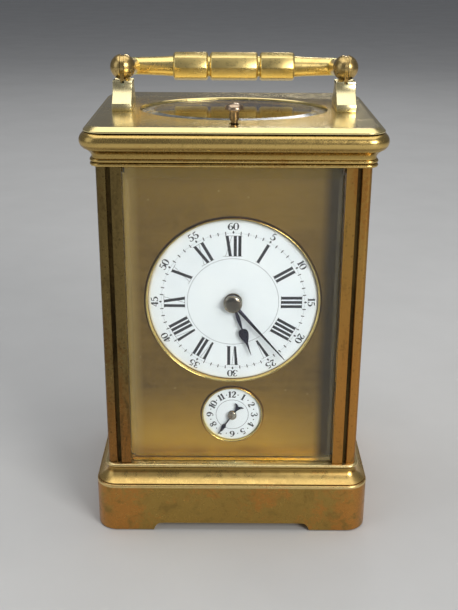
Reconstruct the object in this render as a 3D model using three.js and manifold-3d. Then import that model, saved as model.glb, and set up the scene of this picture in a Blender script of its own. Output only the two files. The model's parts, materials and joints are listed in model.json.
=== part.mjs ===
// Carriage clock with a repeat button and an alarm dial, as an assembly of separate solids.
// Millimetres, +Z up, dial towards -Y. The origin is the middle of the base's underside.
import * as THREE from "three";
import { mergeVertices } from "three/addons/utils/BufferGeometryUtils.js";
import Module from "manifold-3d";

const wasm = await Module();
wasm.setup();

// ---------------------------------------------------------------- driving dimensions

const BASE = { halfWidth: 46, halfDepth: 38, corner: 7, top: 24 };
const BASE_ROOM = { halfWidth: 40.5, halfDepth: 32.5, corner: 3, top: 16 };
const ARCH = { height: 3.1, footLength: 19.3, endCurve: 2.7 };
const PILLAR = { outerX: 42.1, outerY: 33.8, size: 8.2, top: 125.6, band: 4.2, groove: 0.7 };
const CORNICE = { halfWidth: 46.5, halfDepth: 38, corner: 7, bottom: 125.6, top: 136 };
const TOP_PLATE = { halfWidth: 45.2, halfDepth: 36.8, corner: 6.3, bottom: 136.05, top: 137.7, bevel: 2 };
const OVAL = { halfWidth: 30.65, halfDepth: 22.6 };
const GLASS = { thickness: 2, bevel: 3.4, edge: 1, setBack: 0.8, clearance: 0.15, slotDepth: 1.5 };
const SEAT_GAP = 0.2;

const DIAL = { radius: 27.25, bezelRadius: 28.2, bezelFront: -28.5, height: 80.3 };
const ALARM = { radius: 9.7, bezelRadius: 10.3, bezelFront: -28.2, height: 39.7 };
const MASK = { halfWidth: 33.6, front: -27.4, back: -26.2 };
const DIAL_FRONT = -27.6;
const HOUR_HAND = { front: -28.9, thickness: 0.45, length: 19.2, angle: 161.5 };
const MINUTE_HAND = { front: -29.6, thickness: 0.4, length: 25.9, angle: 139 };
const ALARM_HAND = { front: -28.4, thickness: 0.4, length: 8.8, angle: 214 };

const PIVOT = { x: 36, height: 150.8 };
const BALL_RADIUS = 4.1;
const PIN = { radius: 0.8, halfLength: 3.9 };
const TONGUE = { thickness: 1.2, gap: 0.3, radius: 4.25 };
const POST = { halfWidth: 3.15, halfDepth: 7.75, plinth: 2.6, neck: 3.3, shoulder: 8.5 };
const BAIL = { reach: 33.2, droop: 6.4, armRadius: 2.8, cornerRadius: 6, rodRadius: 3.45, rodEndRadius: 3 };
const GRIP = { acrossFlats: 9.2, outer: 12.3, middle: 17, groove: 0.7, grooveDepth: 0.8, chamfer: 0.5 };
const BUTTON = { y: -28.9, headRadius: 2.85, headTop: 6.3, headBase: 4.4, stemRadius: 1.45, rodRadius: 1.1 };

const PLATES = { halfWidth: 30, bottom: 24.3, top: 112, front: -20, back: 16, thickness: 2 };
const ARBOR_RADIUS = 0.9;
const PIVOT_CLEARANCE = 0.15;
const BARREL = { x: 15.5, radius: 14.2, teeth: 60, front: -12, length: 21 };
const STRIKE_BARREL = { x: 17, height: 67.5 };
const BARREL_MODULE = 0.51;
const PINION_TEETH = 10;
const MOTION_MODULE = 0.5;
const PLATFORM = { halfWidth: 22, thickness: 1.6 };

const DEGREE = Math.PI / 180;
const ROUND = 20;

// ---------------------------------------------------------------- materials

const COLOURS = {
  brass: [0xb08d3e, 0.35, 0.95],
  polishedBrass: [0xc7a24b, 0.15, 1],
  gilt: [0x9c7c33, 0.5, 0.9],
  steel: [0x9a9a9c, 0.25, 1],
  blued: [0x15161c, 0.35, 0.6],
  enamel: [0xeef0f2, 0.15, 0],
  glass: [0xdfe6e4, 0.05, 0],
};

function finish(name) {
  const [color, roughness, metalness] = COLOURS[name];
  return new THREE.MeshStandardMaterial({ color, roughness, metalness });
}

// ---------------------------------------------------------------- solids and booleans

function toSolid(geometry) {
  const bare = geometry.clone();
  bare.deleteAttribute("normal");
  bare.deleteAttribute("uv");
  const merged = mergeVertices(bare, 1e-4);
  const corners = merged.getIndex().array;
  const triangles = [];
  for (let i = 0; i < corners.length; i += 3) {
    const [a, b, c] = corners.slice(i, i + 3);
    if (a !== b && b !== c && c !== a) triangles.push(a, b, c);
  }
  return new wasm.Manifold(new wasm.Mesh({
    numProp: 3,
    vertProperties: new Float32Array(merged.getAttribute("position").array),
    triVerts: new Uint32Array(triangles),
  }));
}

function toGeometry(solid) {
  const mesh = solid.getMesh();
  const geometry = new THREE.BufferGeometry();
  geometry.setAttribute("position", new THREE.BufferAttribute(mesh.vertProperties, 3));
  geometry.setIndex(new THREE.BufferAttribute(mesh.triVerts, 1));
  return geometry;
}

function join(...geometries) {
  return toGeometry(geometries.map(toSolid).reduce((whole, piece) => whole.add(piece)));
}

function cut(geometry, ...tools) {
  return toGeometry(tools.map(toSolid).reduce((whole, tool) => whole.subtract(tool), toSolid(geometry)));
}

// ---------------------------------------------------------------- basic shapes

// A profile of [radius, height] points turned round the Z axis; both ends close on the axis.
function turned(profile, segments = ROUND) {
  const points = [[0, profile[0][1]], ...profile, [0, profile.at(-1)[1]]];
  return new THREE.LatheGeometry(points.map(([r, z]) => new THREE.Vector2(r, z)), segments)
    .rotateX(Math.PI / 2);
}

// The same, with the axis along Y: heights run from the front (-Y) to the back.
function turnedAlongY(profile, segments = ROUND) {
  return turned(profile, segments).rotateX(-Math.PI / 2);
}

// The same, with the axis along X.
function turnedAlongX(profile, segments = ROUND) {
  return turned(profile, segments).rotateY(Math.PI / 2);
}

// A moulding profile of [outset, height] points led round a rounded rectangle, closed above and
// below. The outset is measured outwards from the rectangle's sides.
function moulded(profile, halfWidth, halfDepth, corner, perCorner = 3) {
  const segments = 4 * perCorner;
  const step = (2 * Math.PI) / segments;
  const reach = 1 / Math.cos(step / 2);
  const rings = profile.map(([outset, height]) => new THREE.Vector2((corner + outset) * reach, height));
  rings.unshift(new THREE.Vector2(0, profile[0][1]));
  rings.push(new THREE.Vector2(0, profile.at(-1)[1]));
  const geometry = new THREE.LatheGeometry(rings, segments, step / 2);
  const position = geometry.getAttribute("position");
  for (let v = 0; v < position.count; v += 1) {
    const ring = v % rings.length;
    const angle = step / 2 + Math.floor(v / rings.length) * step;
    const onAxis = ring === 0 || ring === rings.length - 1;
    if (!onAxis) {
      position.setX(v, position.getX(v) + Math.sign(Math.sin(angle)) * (halfWidth - corner));
      position.setZ(v, position.getZ(v) + Math.sign(Math.cos(angle)) * (halfDepth - corner));
    }
  }
  return geometry.rotateX(Math.PI / 2);
}

function block(width, depth, height, x = 0, y = 0, z = 0) {
  return new THREE.BoxGeometry(width, depth, height).translate(x, y, z + height / 2);
}

function rod(radius, length, segments = 12) {
  return new THREE.CylinderGeometry(radius, radius, length, segments);
}

function uprightRod(radius, bottom, top, x = 0, y = 0, segments = 12) {
  return rod(radius, top - bottom, segments).rotateX(Math.PI / 2).translate(x, y, (top + bottom) / 2);
}

function rodAlongY(radius, front, back, x = 0, z = 0, segments = 12) {
  return rod(radius, back - front, segments).translate(x, (front + back) / 2, z);
}

function rodAlongX(radius, left, right, y = 0, z = 0, segments = 12) {
  return rod(radius, right - left, segments).rotateZ(Math.PI / 2).translate((left + right) / 2, y, z);
}

function extruded(shape, depth, curveSegments = 8) {
  return new THREE.ExtrudeGeometry(shape, { depth, bevelEnabled: false, curveSegments });
}

// A flat piece facing the dial side: its outline's x and y become X and Z, and its thickness runs
// back from `front`.
function facingFront(shape, front, thickness, curveSegments = 8) {
  return extruded(shape, thickness, curveSegments).rotateX(Math.PI / 2).translate(0, front + thickness, 0);
}

function polygon(points) {
  return new THREE.Shape(points.map(([x, y]) => new THREE.Vector2(x, y)));
}

function ellipse(halfWidth, halfDepth) {
  return new THREE.Shape().absellipse(0, 0, halfWidth, halfDepth, 0, 2 * Math.PI);
}

// ---------------------------------------------------------------- gears

// Pointed teeth with backlash; a tooth points along `turn`.
function gearShape(teeth, module, turn = 0) {
  const pitchRadius = (teeth * module) / 2;
  const tip = pitchRadius + 0.6 * module;
  const root = pitchRadius - module;
  const outline = [];
  for (let k = 0; k < 2 * teeth; k += 1) {
    const angle = turn + (k * Math.PI) / teeth;
    const radius = k % 2 === 0 ? tip : root;
    outline.push([radius * Math.cos(angle), radius * Math.sin(angle)]);
  }
  return polygon(outline);
}

function gear(teeth, module, turn, front, thickness) {
  return facingFront(gearShape(teeth, module, turn), front, thickness);
}

// The turn that puts a tooth gap of this gear against a tooth of the gear at `towards`.
function meshedTurn(teeth, towards) {
  return towards + Math.PI + Math.PI / teeth;
}

// ---------------------------------------------------------------- assembly

const clock = new THREE.Group();
clock.name = "carriage_clock";

function part(name, geometry, material, place = [0, 0, 0]) {
  const mesh = new THREE.Mesh(toGeometry(toSolid(geometry)), finish(material));
  mesh.name = name;
  mesh.position.set(...place);
  clock.add(mesh);
  return mesh;
}

const SIDES = [["left", -1], ["right", 1]];
const ENDS = [["front", -1], ["back", 1]];

// ---------------------------------------------------------------- base and pillars

function archOutline(halfSide) {
  const { height, footLength, endCurve } = ARCH;
  const foot = halfSide - footLength;
  const shape = new THREE.Shape().moveTo(-foot, -1).lineTo(foot, -1).lineTo(foot, 0);
  shape.bezierCurveTo(foot - 0.3, 1, foot - endCurve / 2, height, foot - endCurve, height);
  shape.lineTo(-foot + endCurve, height);
  shape.bezierCurveTo(-foot + endCurve / 2, height, -foot + 0.3, 1, -foot, 0);
  return shape;
}

const BASE_SCREWS = { x: 26, y: [-12, 8], radius: 1.3, head: 2.6, seat: 20, top: 29 };
const DOOR = { halfWidth: 33.6, front: 30.4, back: 33.8, bottom: 24.4, top: 124.6, rail: 6.4 };
const DOOR_AXIS = { x: 32, y: 32.4 };
const doorMiddle = (DOOR.bottom + DOOR.top) / 2;
const doorHalfHeight = (DOOR.top - DOOR.bottom) / 2;
const KNOB = {
  x: -30.4, radius: 2.4, back: 37.7, shank: 1.1, latchFront: 28.2, latchThickness: 1.6, latchReach: 5,
};
const DOOR_PIN = { radius: 0.7, length: 4, into: 2 };
const BUTTON_HOLE = 1.7;

function doorPinHole(z) {
  return uprightRod(DOOR_PIN.radius + PIVOT_CLEARANCE, z - DOOR_PIN.into - 0.3, z + DOOR_PIN.into + 0.3,
    DOOR_AXIS.x, DOOR_AXIS.y, 10);
}

function basePlinth() {
  const outline = [
    [-0.6, 0], [0, 0.6], [0, 17.1], [-0.2, 17.6], [-0.7, 17.8], [-0.5, 18.2], [-0.8, 19.6],
    [-1.7, 20.9], [-2.8, 22], [-3.8, 22.7], [-3.8, 22.9], [-3.1, 23.1], [-3.1, 23.7], [-3.6, 24],
  ];
  const body = moulded(outline, BASE.halfWidth, BASE.halfDepth, BASE.corner);
  const long = extruded(archOutline(BASE.halfWidth), 2 * BASE.halfDepth + 4)
    .rotateX(Math.PI / 2).translate(0, BASE.halfDepth + 2, 0);
  const across = extruded(archOutline(BASE.halfDepth), 2 * BASE.halfWidth + 4)
    .rotateX(Math.PI / 2).translate(0, BASE.halfWidth + 2, 0).rotateZ(Math.PI / 2);
  const holes = [];
  for (const [, side] of SIDES) {
    for (const y of BASE_SCREWS.y) {
      holes.push(uprightRod(BASE_SCREWS.radius + 0.2, 0, BASE.top + 1, side * BASE_SCREWS.x, y, 10));
      holes.push(uprightRod(BASE_SCREWS.head + 0.3, 0, BASE_SCREWS.seat, side * BASE_SCREWS.x, y, 12));
    }
  }
  const { halfWidth, halfDepth, corner, top } = BASE_ROOM;
  const room = moulded([[0, -1], [0, top]], halfWidth, halfDepth, corner);
  return cut(body, room, long, across, ...holes, doorPinHole(BASE.top));
}
part("base_plinth", basePlinth(), "brass");

// Half a unit of the pillar's plan runs inwards from its outer corner: u across the front, v along
// the side. Slots on the inner faces take the edges of the glasses.
function pillarOutline(slotForFront) {
  const { size, band, groove } = PILLAR;
  const shape = new THREE.Shape().moveTo(0, size).lineTo(band, size);
  shape.lineTo(band + groove / 2, size - groove).lineTo(band + groove, size);
  shape.bezierCurveTo(size - 1.5, size, size, size - 1.5, size, band + groove);
  shape.lineTo(size - groove, band + groove / 2).lineTo(size, band).lineTo(size, 0);
  const far = size - GLASS.setBack + GLASS.clearance;
  const near = size - GLASS.setBack - GLASS.thickness - GLASS.clearance;
  shape.lineTo(far, 0).lineTo(far, GLASS.slotDepth).lineTo(near, GLASS.slotDepth).lineTo(near, 0);
  shape.lineTo(0, 0);
  if (slotForFront) {
    shape.lineTo(0, near).lineTo(GLASS.slotDepth, near).lineTo(GLASS.slotDepth, far).lineTo(0, far);
  }
  return shape;
}

// Room in the pillar for the door's latch to swing into.
function latchNotch() {
  const depth = -KNOB.x + KNOB.latchReach - (PILLAR.outerX - PILLAR.size) + 0.8;
  return block(depth + 1, KNOB.latchThickness + 0.6, 2 * KNOB.latchReach + 2,
    -(PILLAR.outerX - PILLAR.size) - (depth - 1) / 2, KNOB.latchFront + KNOB.latchThickness / 2,
    doorMiddle - KNOB.latchReach - 1);
}

for (const [sideName, side] of SIDES) {
  for (const [endName, end] of ENDS) {
    const inset = [PILLAR.outerX - PILLAR.size, PILLAR.outerY - PILLAR.size];
    const plan = pillarOutline(end < 0).getPoints(5)
      .map(({ x, y }) => [side * (x + inset[0]), end * (y + inset[1])]);
    const column = extruded(polygon(plan), PILLAR.top - BASE.top).translate(0, 0, BASE.top);
    const takesLatch = side < 0 && end > 0;
    part(`pillar_${endName}_${sideName}`, takesLatch ? cut(column, latchNotch()) : column, "brass");
  }
}

// ---------------------------------------------------------------- cornice, top plate and glasses

const OVAL_FLANGE = { width: 31.6, glassBottom: 134.2, glassTop: 135.8 };
const CORNICE_ROOM = { halfWidth: 33.9, halfDepth: 26.6, top: 131.5 };

function ovalTool(halfWidth, halfDepth, bottom, top) {
  return extruded(ellipse(halfWidth, halfDepth), top - bottom, 14).translate(0, 0, bottom);
}

function cornice() {
  const outline = [
    [-4.1, 125.6], [-3.3, 125.8], [-3, 126.3], [-3.6, 126.8], [-3, 127.2], [-3, 127.8], [-3.7, 128.1],
    [-3.5, 129.2], [-2.9, 130.2], [-2, 130.9], [-1.1, 131.1], [-0.3, 131.8], [0, 132.8], [-0.1, 133.7],
    [-0.6, 134.8], [-1.5, 135.7], [-2.2, 136],
  ];
  const body = moulded(outline, CORNICE.halfWidth, CORNICE.halfDepth, CORNICE.corner);
  const { bottom, top } = CORNICE;
  const room = block(2 * CORNICE_ROOM.halfWidth, 2 * CORNICE_ROOM.halfDepth,
    CORNICE_ROOM.top - bottom + 1, 0, 0, bottom - 1);
  const throat = ovalTool(OVAL.halfWidth - 1.6, OVAL.halfDepth - 1.6, bottom, top + 1);
  const rebate = ovalTool(OVAL_FLANGE.width + 0.3, OVAL_FLANGE.width * 0.737 + 0.3,
    OVAL_FLANGE.glassBottom - SEAT_GAP, top + 1);
  const stemHole = uprightRod(BUTTON_HOLE, bottom - 1, top + 1, 0, BUTTON.y);
  return cut(body, room, throat, rebate, stemHole, doorPinHole(bottom));
}
part("cornice", cornice(), "brass");

function topPlate() {
  const { halfWidth, halfDepth, corner, bottom, top, bevel } = TOP_PLATE;
  const body = moulded([[0, bottom], [0, bottom + 0.5], [-bevel, top]], halfWidth, halfDepth, corner);
  const opening = ovalTool(OVAL.halfWidth, OVAL.halfDepth, bottom - 1, top + 1);
  return cut(body, opening, uprightRod(BUTTON_HOLE, bottom - 1, top + 1, 0, BUTTON.y));
}
part("top_plate", topPlate(), "polishedBrass");

function ovalGlass() {
  const { width, glassBottom, glassTop } = OVAL_FLANGE;
  const rim = OVAL.halfWidth - 0.4;
  const crown = TOP_PLATE.top - 0.2;
  const profile = [[width, glassBottom], [width, glassTop], [rim, glassTop], [rim, glassTop + 0.6],
    [rim - 4.3, crown]];
  return turned(profile, 36).scale(1, OVAL.halfDepth / OVAL.halfWidth, 1);
}
part("oval_glass", ovalGlass(), "glass");

// A bevelled glass lying flat: the bevel is on its upper face.
function bevelledGlass(halfWidth, halfHeight) {
  const corner = 0.5;
  const { thickness, bevel, edge } = GLASS;
  return moulded([[0, 0], [0, edge], [-bevel, thickness]], halfWidth, halfHeight, corner, 1);
}

const glassMiddle = (BASE.top + PILLAR.top) / 2;
const glassHalfHeight = (PILLAR.top - BASE.top) / 2 - SEAT_GAP;
const frontGlassHalf = PILLAR.outerX - PILLAR.size + GLASS.slotDepth - SEAT_GAP;
const sideGlassHalf = PILLAR.outerY - PILLAR.size + GLASS.slotDepth - SEAT_GAP;
const frontGlassBack = -(PILLAR.outerY - GLASS.setBack - GLASS.thickness);
const sideGlassBack = PILLAR.outerX - GLASS.setBack - GLASS.thickness;

part("front_glass", bevelledGlass(frontGlassHalf, glassHalfHeight).rotateX(Math.PI / 2), "glass",
  [0, frontGlassBack, glassMiddle]);
for (const [sideName, side] of SIDES) {
  part(`${sideName}_glass`, bevelledGlass(glassHalfHeight, sideGlassHalf).rotateY(side * Math.PI / 2),
    "glass", [side * sideGlassBack, 0, glassMiddle]);
}

// ---------------------------------------------------------------- rear door

function doorFrame() {
  const { halfWidth, front, back, rail, bottom, top } = DOOR;
  const outline = polygon([
    [-halfWidth, front], [halfWidth, front], [halfWidth, DOOR_AXIS.y + 0.3],
    [halfWidth - 1, back], [-halfWidth, back],
  ]);
  const leaf = extruded(outline, top - bottom).translate(0, 0, bottom);
  const window = block(2 * (halfWidth - rail), 20, 2 * (doorHalfHeight - rail), 0, front, bottom + rail);
  const rebateDepth = GLASS.thickness + SEAT_GAP;
  const rebate = block(2 * (halfWidth - rail + 1.5), rebateDepth, 2 * (doorHalfHeight - rail + 1.5),
    0, front + rebateDepth / 2, bottom + rail - 1.5);
  const pinHoles = [bottom, top].map(doorPinHole);
  return cut(leaf, window, rebate, ...pinHoles,
    rodAlongY(KNOB.shank + PIVOT_CLEARANCE, front - 1, back + 1, KNOB.x, doorMiddle));
}
part("rear_door_frame", doorFrame(), "brass");
part("rear_door_glass",
  bevelledGlass(DOOR.halfWidth - DOOR.rail + 1.3, doorHalfHeight - DOOR.rail + 1.3).rotateX(-Math.PI / 2),
  "glass", [0, DOOR.front, doorMiddle]);
for (const [name, z] of [["lower", DOOR.bottom], ["upper", DOOR.top]]) {
  part(`door_pin_${name}`,
    uprightRod(DOOR_PIN.radius, z - DOOR_PIN.into, z + DOOR_PIN.into, DOOR_AXIS.x, DOOR_AXIS.y, 10), "steel");
}

// The knob, its shank and the latch finger that lies behind the pillar when the door is shut.
function doorKnob() {
  const { radius, back, shank, latchFront, latchThickness, latchReach } = KNOB;
  const turnedPart = turnedAlongY([[shank, latchFront + 0.2], [shank, 34.1], [radius * 0.7, 34.3],
    [radius, 35.4], [radius, 36.6], [radius * 0.7, back]], 16);
  const latch = block(latchReach + 1.5, latchThickness, 3, (1.5 - latchReach) / 2,
    latchFront + latchThickness / 2, -1.5);
  return join(turnedPart, latch);
}
part("door_knob", doorKnob(), "brass", [KNOB.x, 0, doorMiddle]);

// ---------------------------------------------------------------- handle

function postOutline() {
  const { halfDepth, plinth, neck, shoulder } = POST;
  const shape = new THREE.Shape().moveTo(-halfDepth, 0).lineTo(halfDepth, 0).lineTo(halfDepth, plinth);
  shape.lineTo(halfDepth - 0.5, plinth);
  shape.quadraticCurveTo(neck + 0.5, plinth + 0.4, neck, shoulder - 2).lineTo(neck, shoulder);
  shape.lineTo(-neck, shoulder).lineTo(-neck, shoulder - 2);
  shape.quadraticCurveTo(-neck - 0.5, plinth + 0.4, -halfDepth + 0.5, plinth).lineTo(-halfDepth, plinth);
  return shape;
}

// An extrusion whose outline is in the Y-Z plane, centred on X = 0.
function acrossX(shape, width, curveSegments = 8) {
  return extruded(shape, width, curveSegments).rotateX(Math.PI / 2).rotateZ(Math.PI / 2)
    .translate(-width / 2, 0, 0);
}

function handlePost() {
  const height = PIVOT.height - TOP_PLATE.top;
  const foot = acrossX(postOutline(), 2 * POST.halfWidth);
  const tongue = rodAlongX(TONGUE.radius, -TONGUE.thickness / 2, TONGUE.thickness / 2, 0, height, 24);
  const web = block(TONGUE.thickness, 2 * POST.neck, height - POST.shoulder + 1, 0, 0, POST.shoulder - 1);
  const pinHole = rodAlongX(PIN.radius + PIVOT_CLEARANCE, -5, 5, 0, height);
  return cut(join(foot, tongue, web), pinHole);
}

for (const [sideName, side] of SIDES) {
  part(`handle_post_${sideName}`, handlePost(), "brass", [side * PIVOT.x, 0, TOP_PLATE.top]);
  part(`handle_pin_${sideName}`,
    rodAlongX(PIN.radius, -PIN.halfLength, PIN.halfLength), "steel", [side * PIVOT.x, 0, PIVOT.height]);
}

// The folding handle lies back on its stop; it is drawn pointing along +Y from the pivots and then
// let down by its droop.
function bail() {
  const { reach, armRadius, cornerRadius, rodRadius, rodEndRadius } = BAIL;
  const pieces = [];
  for (const [, side] of SIDES) {
    const x = side * PIVOT.x;
    const bendX = x - side * cornerRadius;
    const path = new THREE.CurvePath();
    path.add(new THREE.LineCurve3(new THREE.Vector3(x, 1, 0), new THREE.Vector3(x, reach - cornerRadius, 0)));
    path.add(new THREE.QuadraticBezierCurve3(new THREE.Vector3(x, reach - cornerRadius, 0),
      new THREE.Vector3(x, reach, 0), new THREE.Vector3(bendX, reach, 0)));
    path.add(new THREE.LineCurve3(new THREE.Vector3(bendX, reach, 0),
      new THREE.Vector3(bendX - side * 2, reach, 0)));
    const section = new THREE.Shape().absarc(0, 0, armRadius, 0, 2 * Math.PI);
    pieces.push(new THREE.ExtrudeGeometry(section,
      { steps: 12, bevelEnabled: false, extrudePath: path, curveSegments: 5 }));
    pieces.push(new THREE.SphereGeometry(BALL_RADIUS, 16, 10).translate(x, 0, 0));
  }
  const gripHalf = GRIP.middle / 2 + GRIP.groove + GRIP.outer;
  const rodEnd = PIVOT.x - cornerRadius - 1;
  pieces.push(turnedAlongX([[rodEndRadius, -rodEnd], [rodRadius, -gripHalf + 1], [rodRadius, gripHalf - 1],
    [rodEndRadius, rodEnd]], 16).translate(0, reach, 0));
  pieces.push(grips());
  const slots = [];
  for (const [, side] of SIDES) {
    const half = TONGUE.thickness / 2 + TONGUE.gap;
    const x = side * PIVOT.x;
    slots.push(rodAlongX(TONGUE.radius + 0.4, x - half, x + half, 0, 0, 20));
    slots.push(rodAlongX(PIN.radius + PIVOT_CLEARANCE, x - PIN.halfLength - 0.3, x + PIN.halfLength + 0.3));
  }
  return cut(join(...pieces), ...slots);
}

// Three eight-sided grips in one piece with the rod, parted by narrow grooves.
function grips() {
  const corner = GRIP.acrossFlats / 2 / Math.cos(Math.PI / 8);
  const middle = GRIP.middle / 2;
  const inner = middle + GRIP.groove;
  const end = inner + GRIP.outer;
  const profile = [[-end, -inner], [-middle, middle], [inner, end]].flatMap(([from, to]) => [
    [corner - GRIP.grooveDepth, from],
    [corner - GRIP.chamfer, from],
    [corner, from + GRIP.chamfer],
    [corner, to - GRIP.chamfer],
    [corner - GRIP.chamfer, to],
    [corner - GRIP.grooveDepth, to],
  ]);
  return turnedAlongX(profile, 8).rotateX(Math.PI / 8 + BAIL.droop * DEGREE).translate(0, BAIL.reach, 0);
}

const handle = part("handle_bail", bail(), "polishedBrass", [0, 0, PIVOT.height]);
handle.rotation.x = -BAIL.droop * DEGREE;

// ---------------------------------------------------------------- repeat button

function repeatButton() {
  const { headRadius, headTop, headBase, stemRadius, rodRadius } = BUTTON;
  const plate = TOP_PLATE.top;
  return turned([[rodRadius, 128], [rodRadius, plate + 1.2], [stemRadius, plate + 1.6],
    [stemRadius, plate + headBase], [headRadius, plate + headBase], [headRadius, plate + headBase + 0.5],
    [headRadius * 0.8, plate + headTop - 0.4], [headRadius * 0.4, plate + headTop]], 16);
}
part("repeat_button", repeatButton(), "steel", [0, BUTTON.y, 0]);

// ---------------------------------------------------------------- mask, dials and bezels

function maskPlate() {
  const { halfWidth, front, back } = MASK;
  const sheet = block(2 * halfWidth, back - front, PILLAR.top - BASE.top - 0.8, 0, (front + back) / 2,
    BASE.top + 0.4);
  return cut(sheet,
    rodAlongY(DIAL.bezelRadius + 0.1, front - 1, back + 1, 0, DIAL.height, 48),
    rodAlongY(ALARM.bezelRadius + 0.1, front - 1, back + 1, 0, ALARM.height, 32));
}
part("mask", maskPlate(), "gilt");

// A flat ring facing the dial side, with a rounded-off front edge.
function ring(outer, inner, front, back, segments) {
  const profile = [[inner, front], [outer, front + 0.35], [outer, back], [inner, back], [inner, front]];
  const points = profile.map(([r, y]) => new THREE.Vector2(r, y));
  return new THREE.LatheGeometry(points, segments);
}

function dialDisc(radius, hole, segments) {
  const disc = turnedAlongY([[radius, DIAL_FRONT + 0.2], [radius, MASK.back]], segments);
  const dome = turnedAlongY([[radius * 0.6, DIAL_FRONT], [radius, DIAL_FRONT + 0.2]], segments);
  return cut(join(disc, dome), rodAlongY(hole, DIAL_FRONT - 1, MASK.back + 1, 0, 0, 16));
}

const HOUR_TUBE = { outer: 2.3, inner: 1.6 };
part("main_dial", dialDisc(DIAL.radius, HOUR_TUBE.outer + 0.6, 48), "enamel", [0, 0, DIAL.height]);
part("main_bezel", ring(DIAL.bezelRadius, DIAL.radius + 0.1, DIAL.bezelFront, MASK.back, 48),
  "polishedBrass", [0, 0, DIAL.height]);
part("alarm_dial", dialDisc(ALARM.radius, 1.3, 32), "enamel", [0, 0, ALARM.height]);
part("alarm_bezel", ring(ALARM.bezelRadius, ALARM.radius + 0.1, ALARM.bezelFront, MASK.back, 32),
  "polishedBrass", [0, 0, ALARM.height]);

// ---------------------------------------------------------------- hands

// Half of a hand's outline, from its hub to its point, mirrored about its own line.
function handOutline(half) {
  return polygon([...half, ...half.slice(0, -1).reverse().map(([x, y]) => [-x, y])]);
}

function hand(outline, hub, hole, { front, thickness, angle }) {
  const blade = facingFront(outline, front, thickness);
  const disc = rodAlongY(hub, front, front + thickness, 0, 0, 20);
  const bore = rodAlongY(hole, front - 1, front + 2, 0, 0, 16);
  return cut(join(blade, disc), bore).rotateY(angle * DEGREE);
}

const hourOutline = handOutline([[0.5, 0], [0.45, 8.9], [1.1, 10], [1.65, 11.6], [1.2, 13.1], [0.4, 14.6],
  [0, HOUR_HAND.length]]);
const minuteOutline = handOutline([[0.7, 0], [0.65, 3], [0, MINUTE_HAND.length]]);
const alarmOutline = handOutline([[0.7, -3.6], [0.2, -1], [0.25, 4.4], [0.75, 5.6], [0.3, 6.8],
  [0, ALARM_HAND.length]]);

part("hour_hand", hand(hourOutline, 3, HOUR_TUBE.outer + 0.1, HOUR_HAND), "blued", [0, 0, DIAL.height]);
part("minute_hand", hand(minuteOutline, 1.9, 0.9, MINUTE_HAND), "blued", [0, 0, DIAL.height]);
const colletProfile = [[1.2, -30.7], [2.4, -30.4], [3, -29.9], [3, MINUTE_HAND.front - 0.02]];
part("minute_hand_collet", turnedAlongY(colletProfile), "steel", [0, 0, DIAL.height]);
part("alarm_hand", hand(alarmOutline, 1.3, 0.8, ALARM_HAND), "blued", [0, 0, ALARM.height]);
part("alarm_collet", turnedAlongY([[0.6, -28.95], [1.45, -28.7], [1.45, ALARM_HAND.front - 0.02]], 16),
  "steel", [0, 0, ALARM.height]);

// ---------------------------------------------------------------- movement frame

// Where each arbor stands, as X and Z.
function atDistance([x, z], distance, towards) {
  return [x + distance * Math.cos(towards), z + distance * Math.sin(towards)];
}

function centreDistance(module, ...teeth) {
  return (module * teeth.reduce((a, b) => a + b)) / 2;
}

const THIRD_MODULE = 0.36;
const CENTRE_TEETH = 64;
const THIRD_TEETH = 60;
const LEAF_COUNT = 8;
const CANNON_TEETH = 12;
const MINUTE_WHEEL_TEETH = 36;
const MINUTE_PINION_TEETH = 10;
const HOUR_TEETH = 40;
const STRIKE_TEETH = 48;

const centreAt = [0, DIAL.height];
const barrelReach = centreDistance(BARREL_MODULE, BARREL.teeth, PINION_TEETH);
const barrelAngle = Math.acos(BARREL.x / barrelReach);
const goingBarrelAt = atDistance(centreAt, barrelReach, Math.PI + barrelAngle);
const strikeBarrelAt = [STRIKE_BARREL.x, STRIKE_BARREL.height];
const thirdAngle = 131 * DEGREE;
const thirdAt = atDistance(centreAt, centreDistance(THIRD_MODULE, CENTRE_TEETH, LEAF_COUNT), thirdAngle);
const contrateAngle = 46 * DEGREE;
const contrateAt = atDistance(thirdAt, centreDistance(THIRD_MODULE, THIRD_TEETH, LEAF_COUNT), contrateAngle);
const minuteWheelAngle = 45 * DEGREE;
const motionReach = centreDistance(MOTION_MODULE, CANNON_TEETH, MINUTE_WHEEL_TEETH);
const HOUR_MODULE = (2 * motionReach) / (MINUTE_PINION_TEETH + HOUR_TEETH);
const minuteWheelAt = atDistance(centreAt, motionReach, minuteWheelAngle);
const strikeAngle = 100 * DEGREE;
const strikeAt = atDistance(strikeBarrelAt, barrelReach, strikeAngle);
const flyAngle = 50 * DEGREE;
const flyAt = atDistance(strikeAt, centreDistance(THIRD_MODULE, STRIKE_TEETH, LEAF_COUNT), flyAngle);
const alarmAt = [0, ALARM.height];
const hammerAt = [24, 103];

const backPlateFront = PLATES.back - PLATES.thickness;
const frontPlateBack = PLATES.front + PLATES.thickness;

function movementPlate(front, holes) {
  const { halfWidth, bottom, top, thickness } = PLATES;
  const sheet = block(2 * halfWidth, thickness, top - bottom, 0, front + thickness / 2, bottom);
  return cut(sheet, ...holes.map(([[x, z], radius]) => rodAlongY(radius + PIVOT_CLEARANCE, front - 1,
    front + thickness + 1, x, z, 10)));
}

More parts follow.
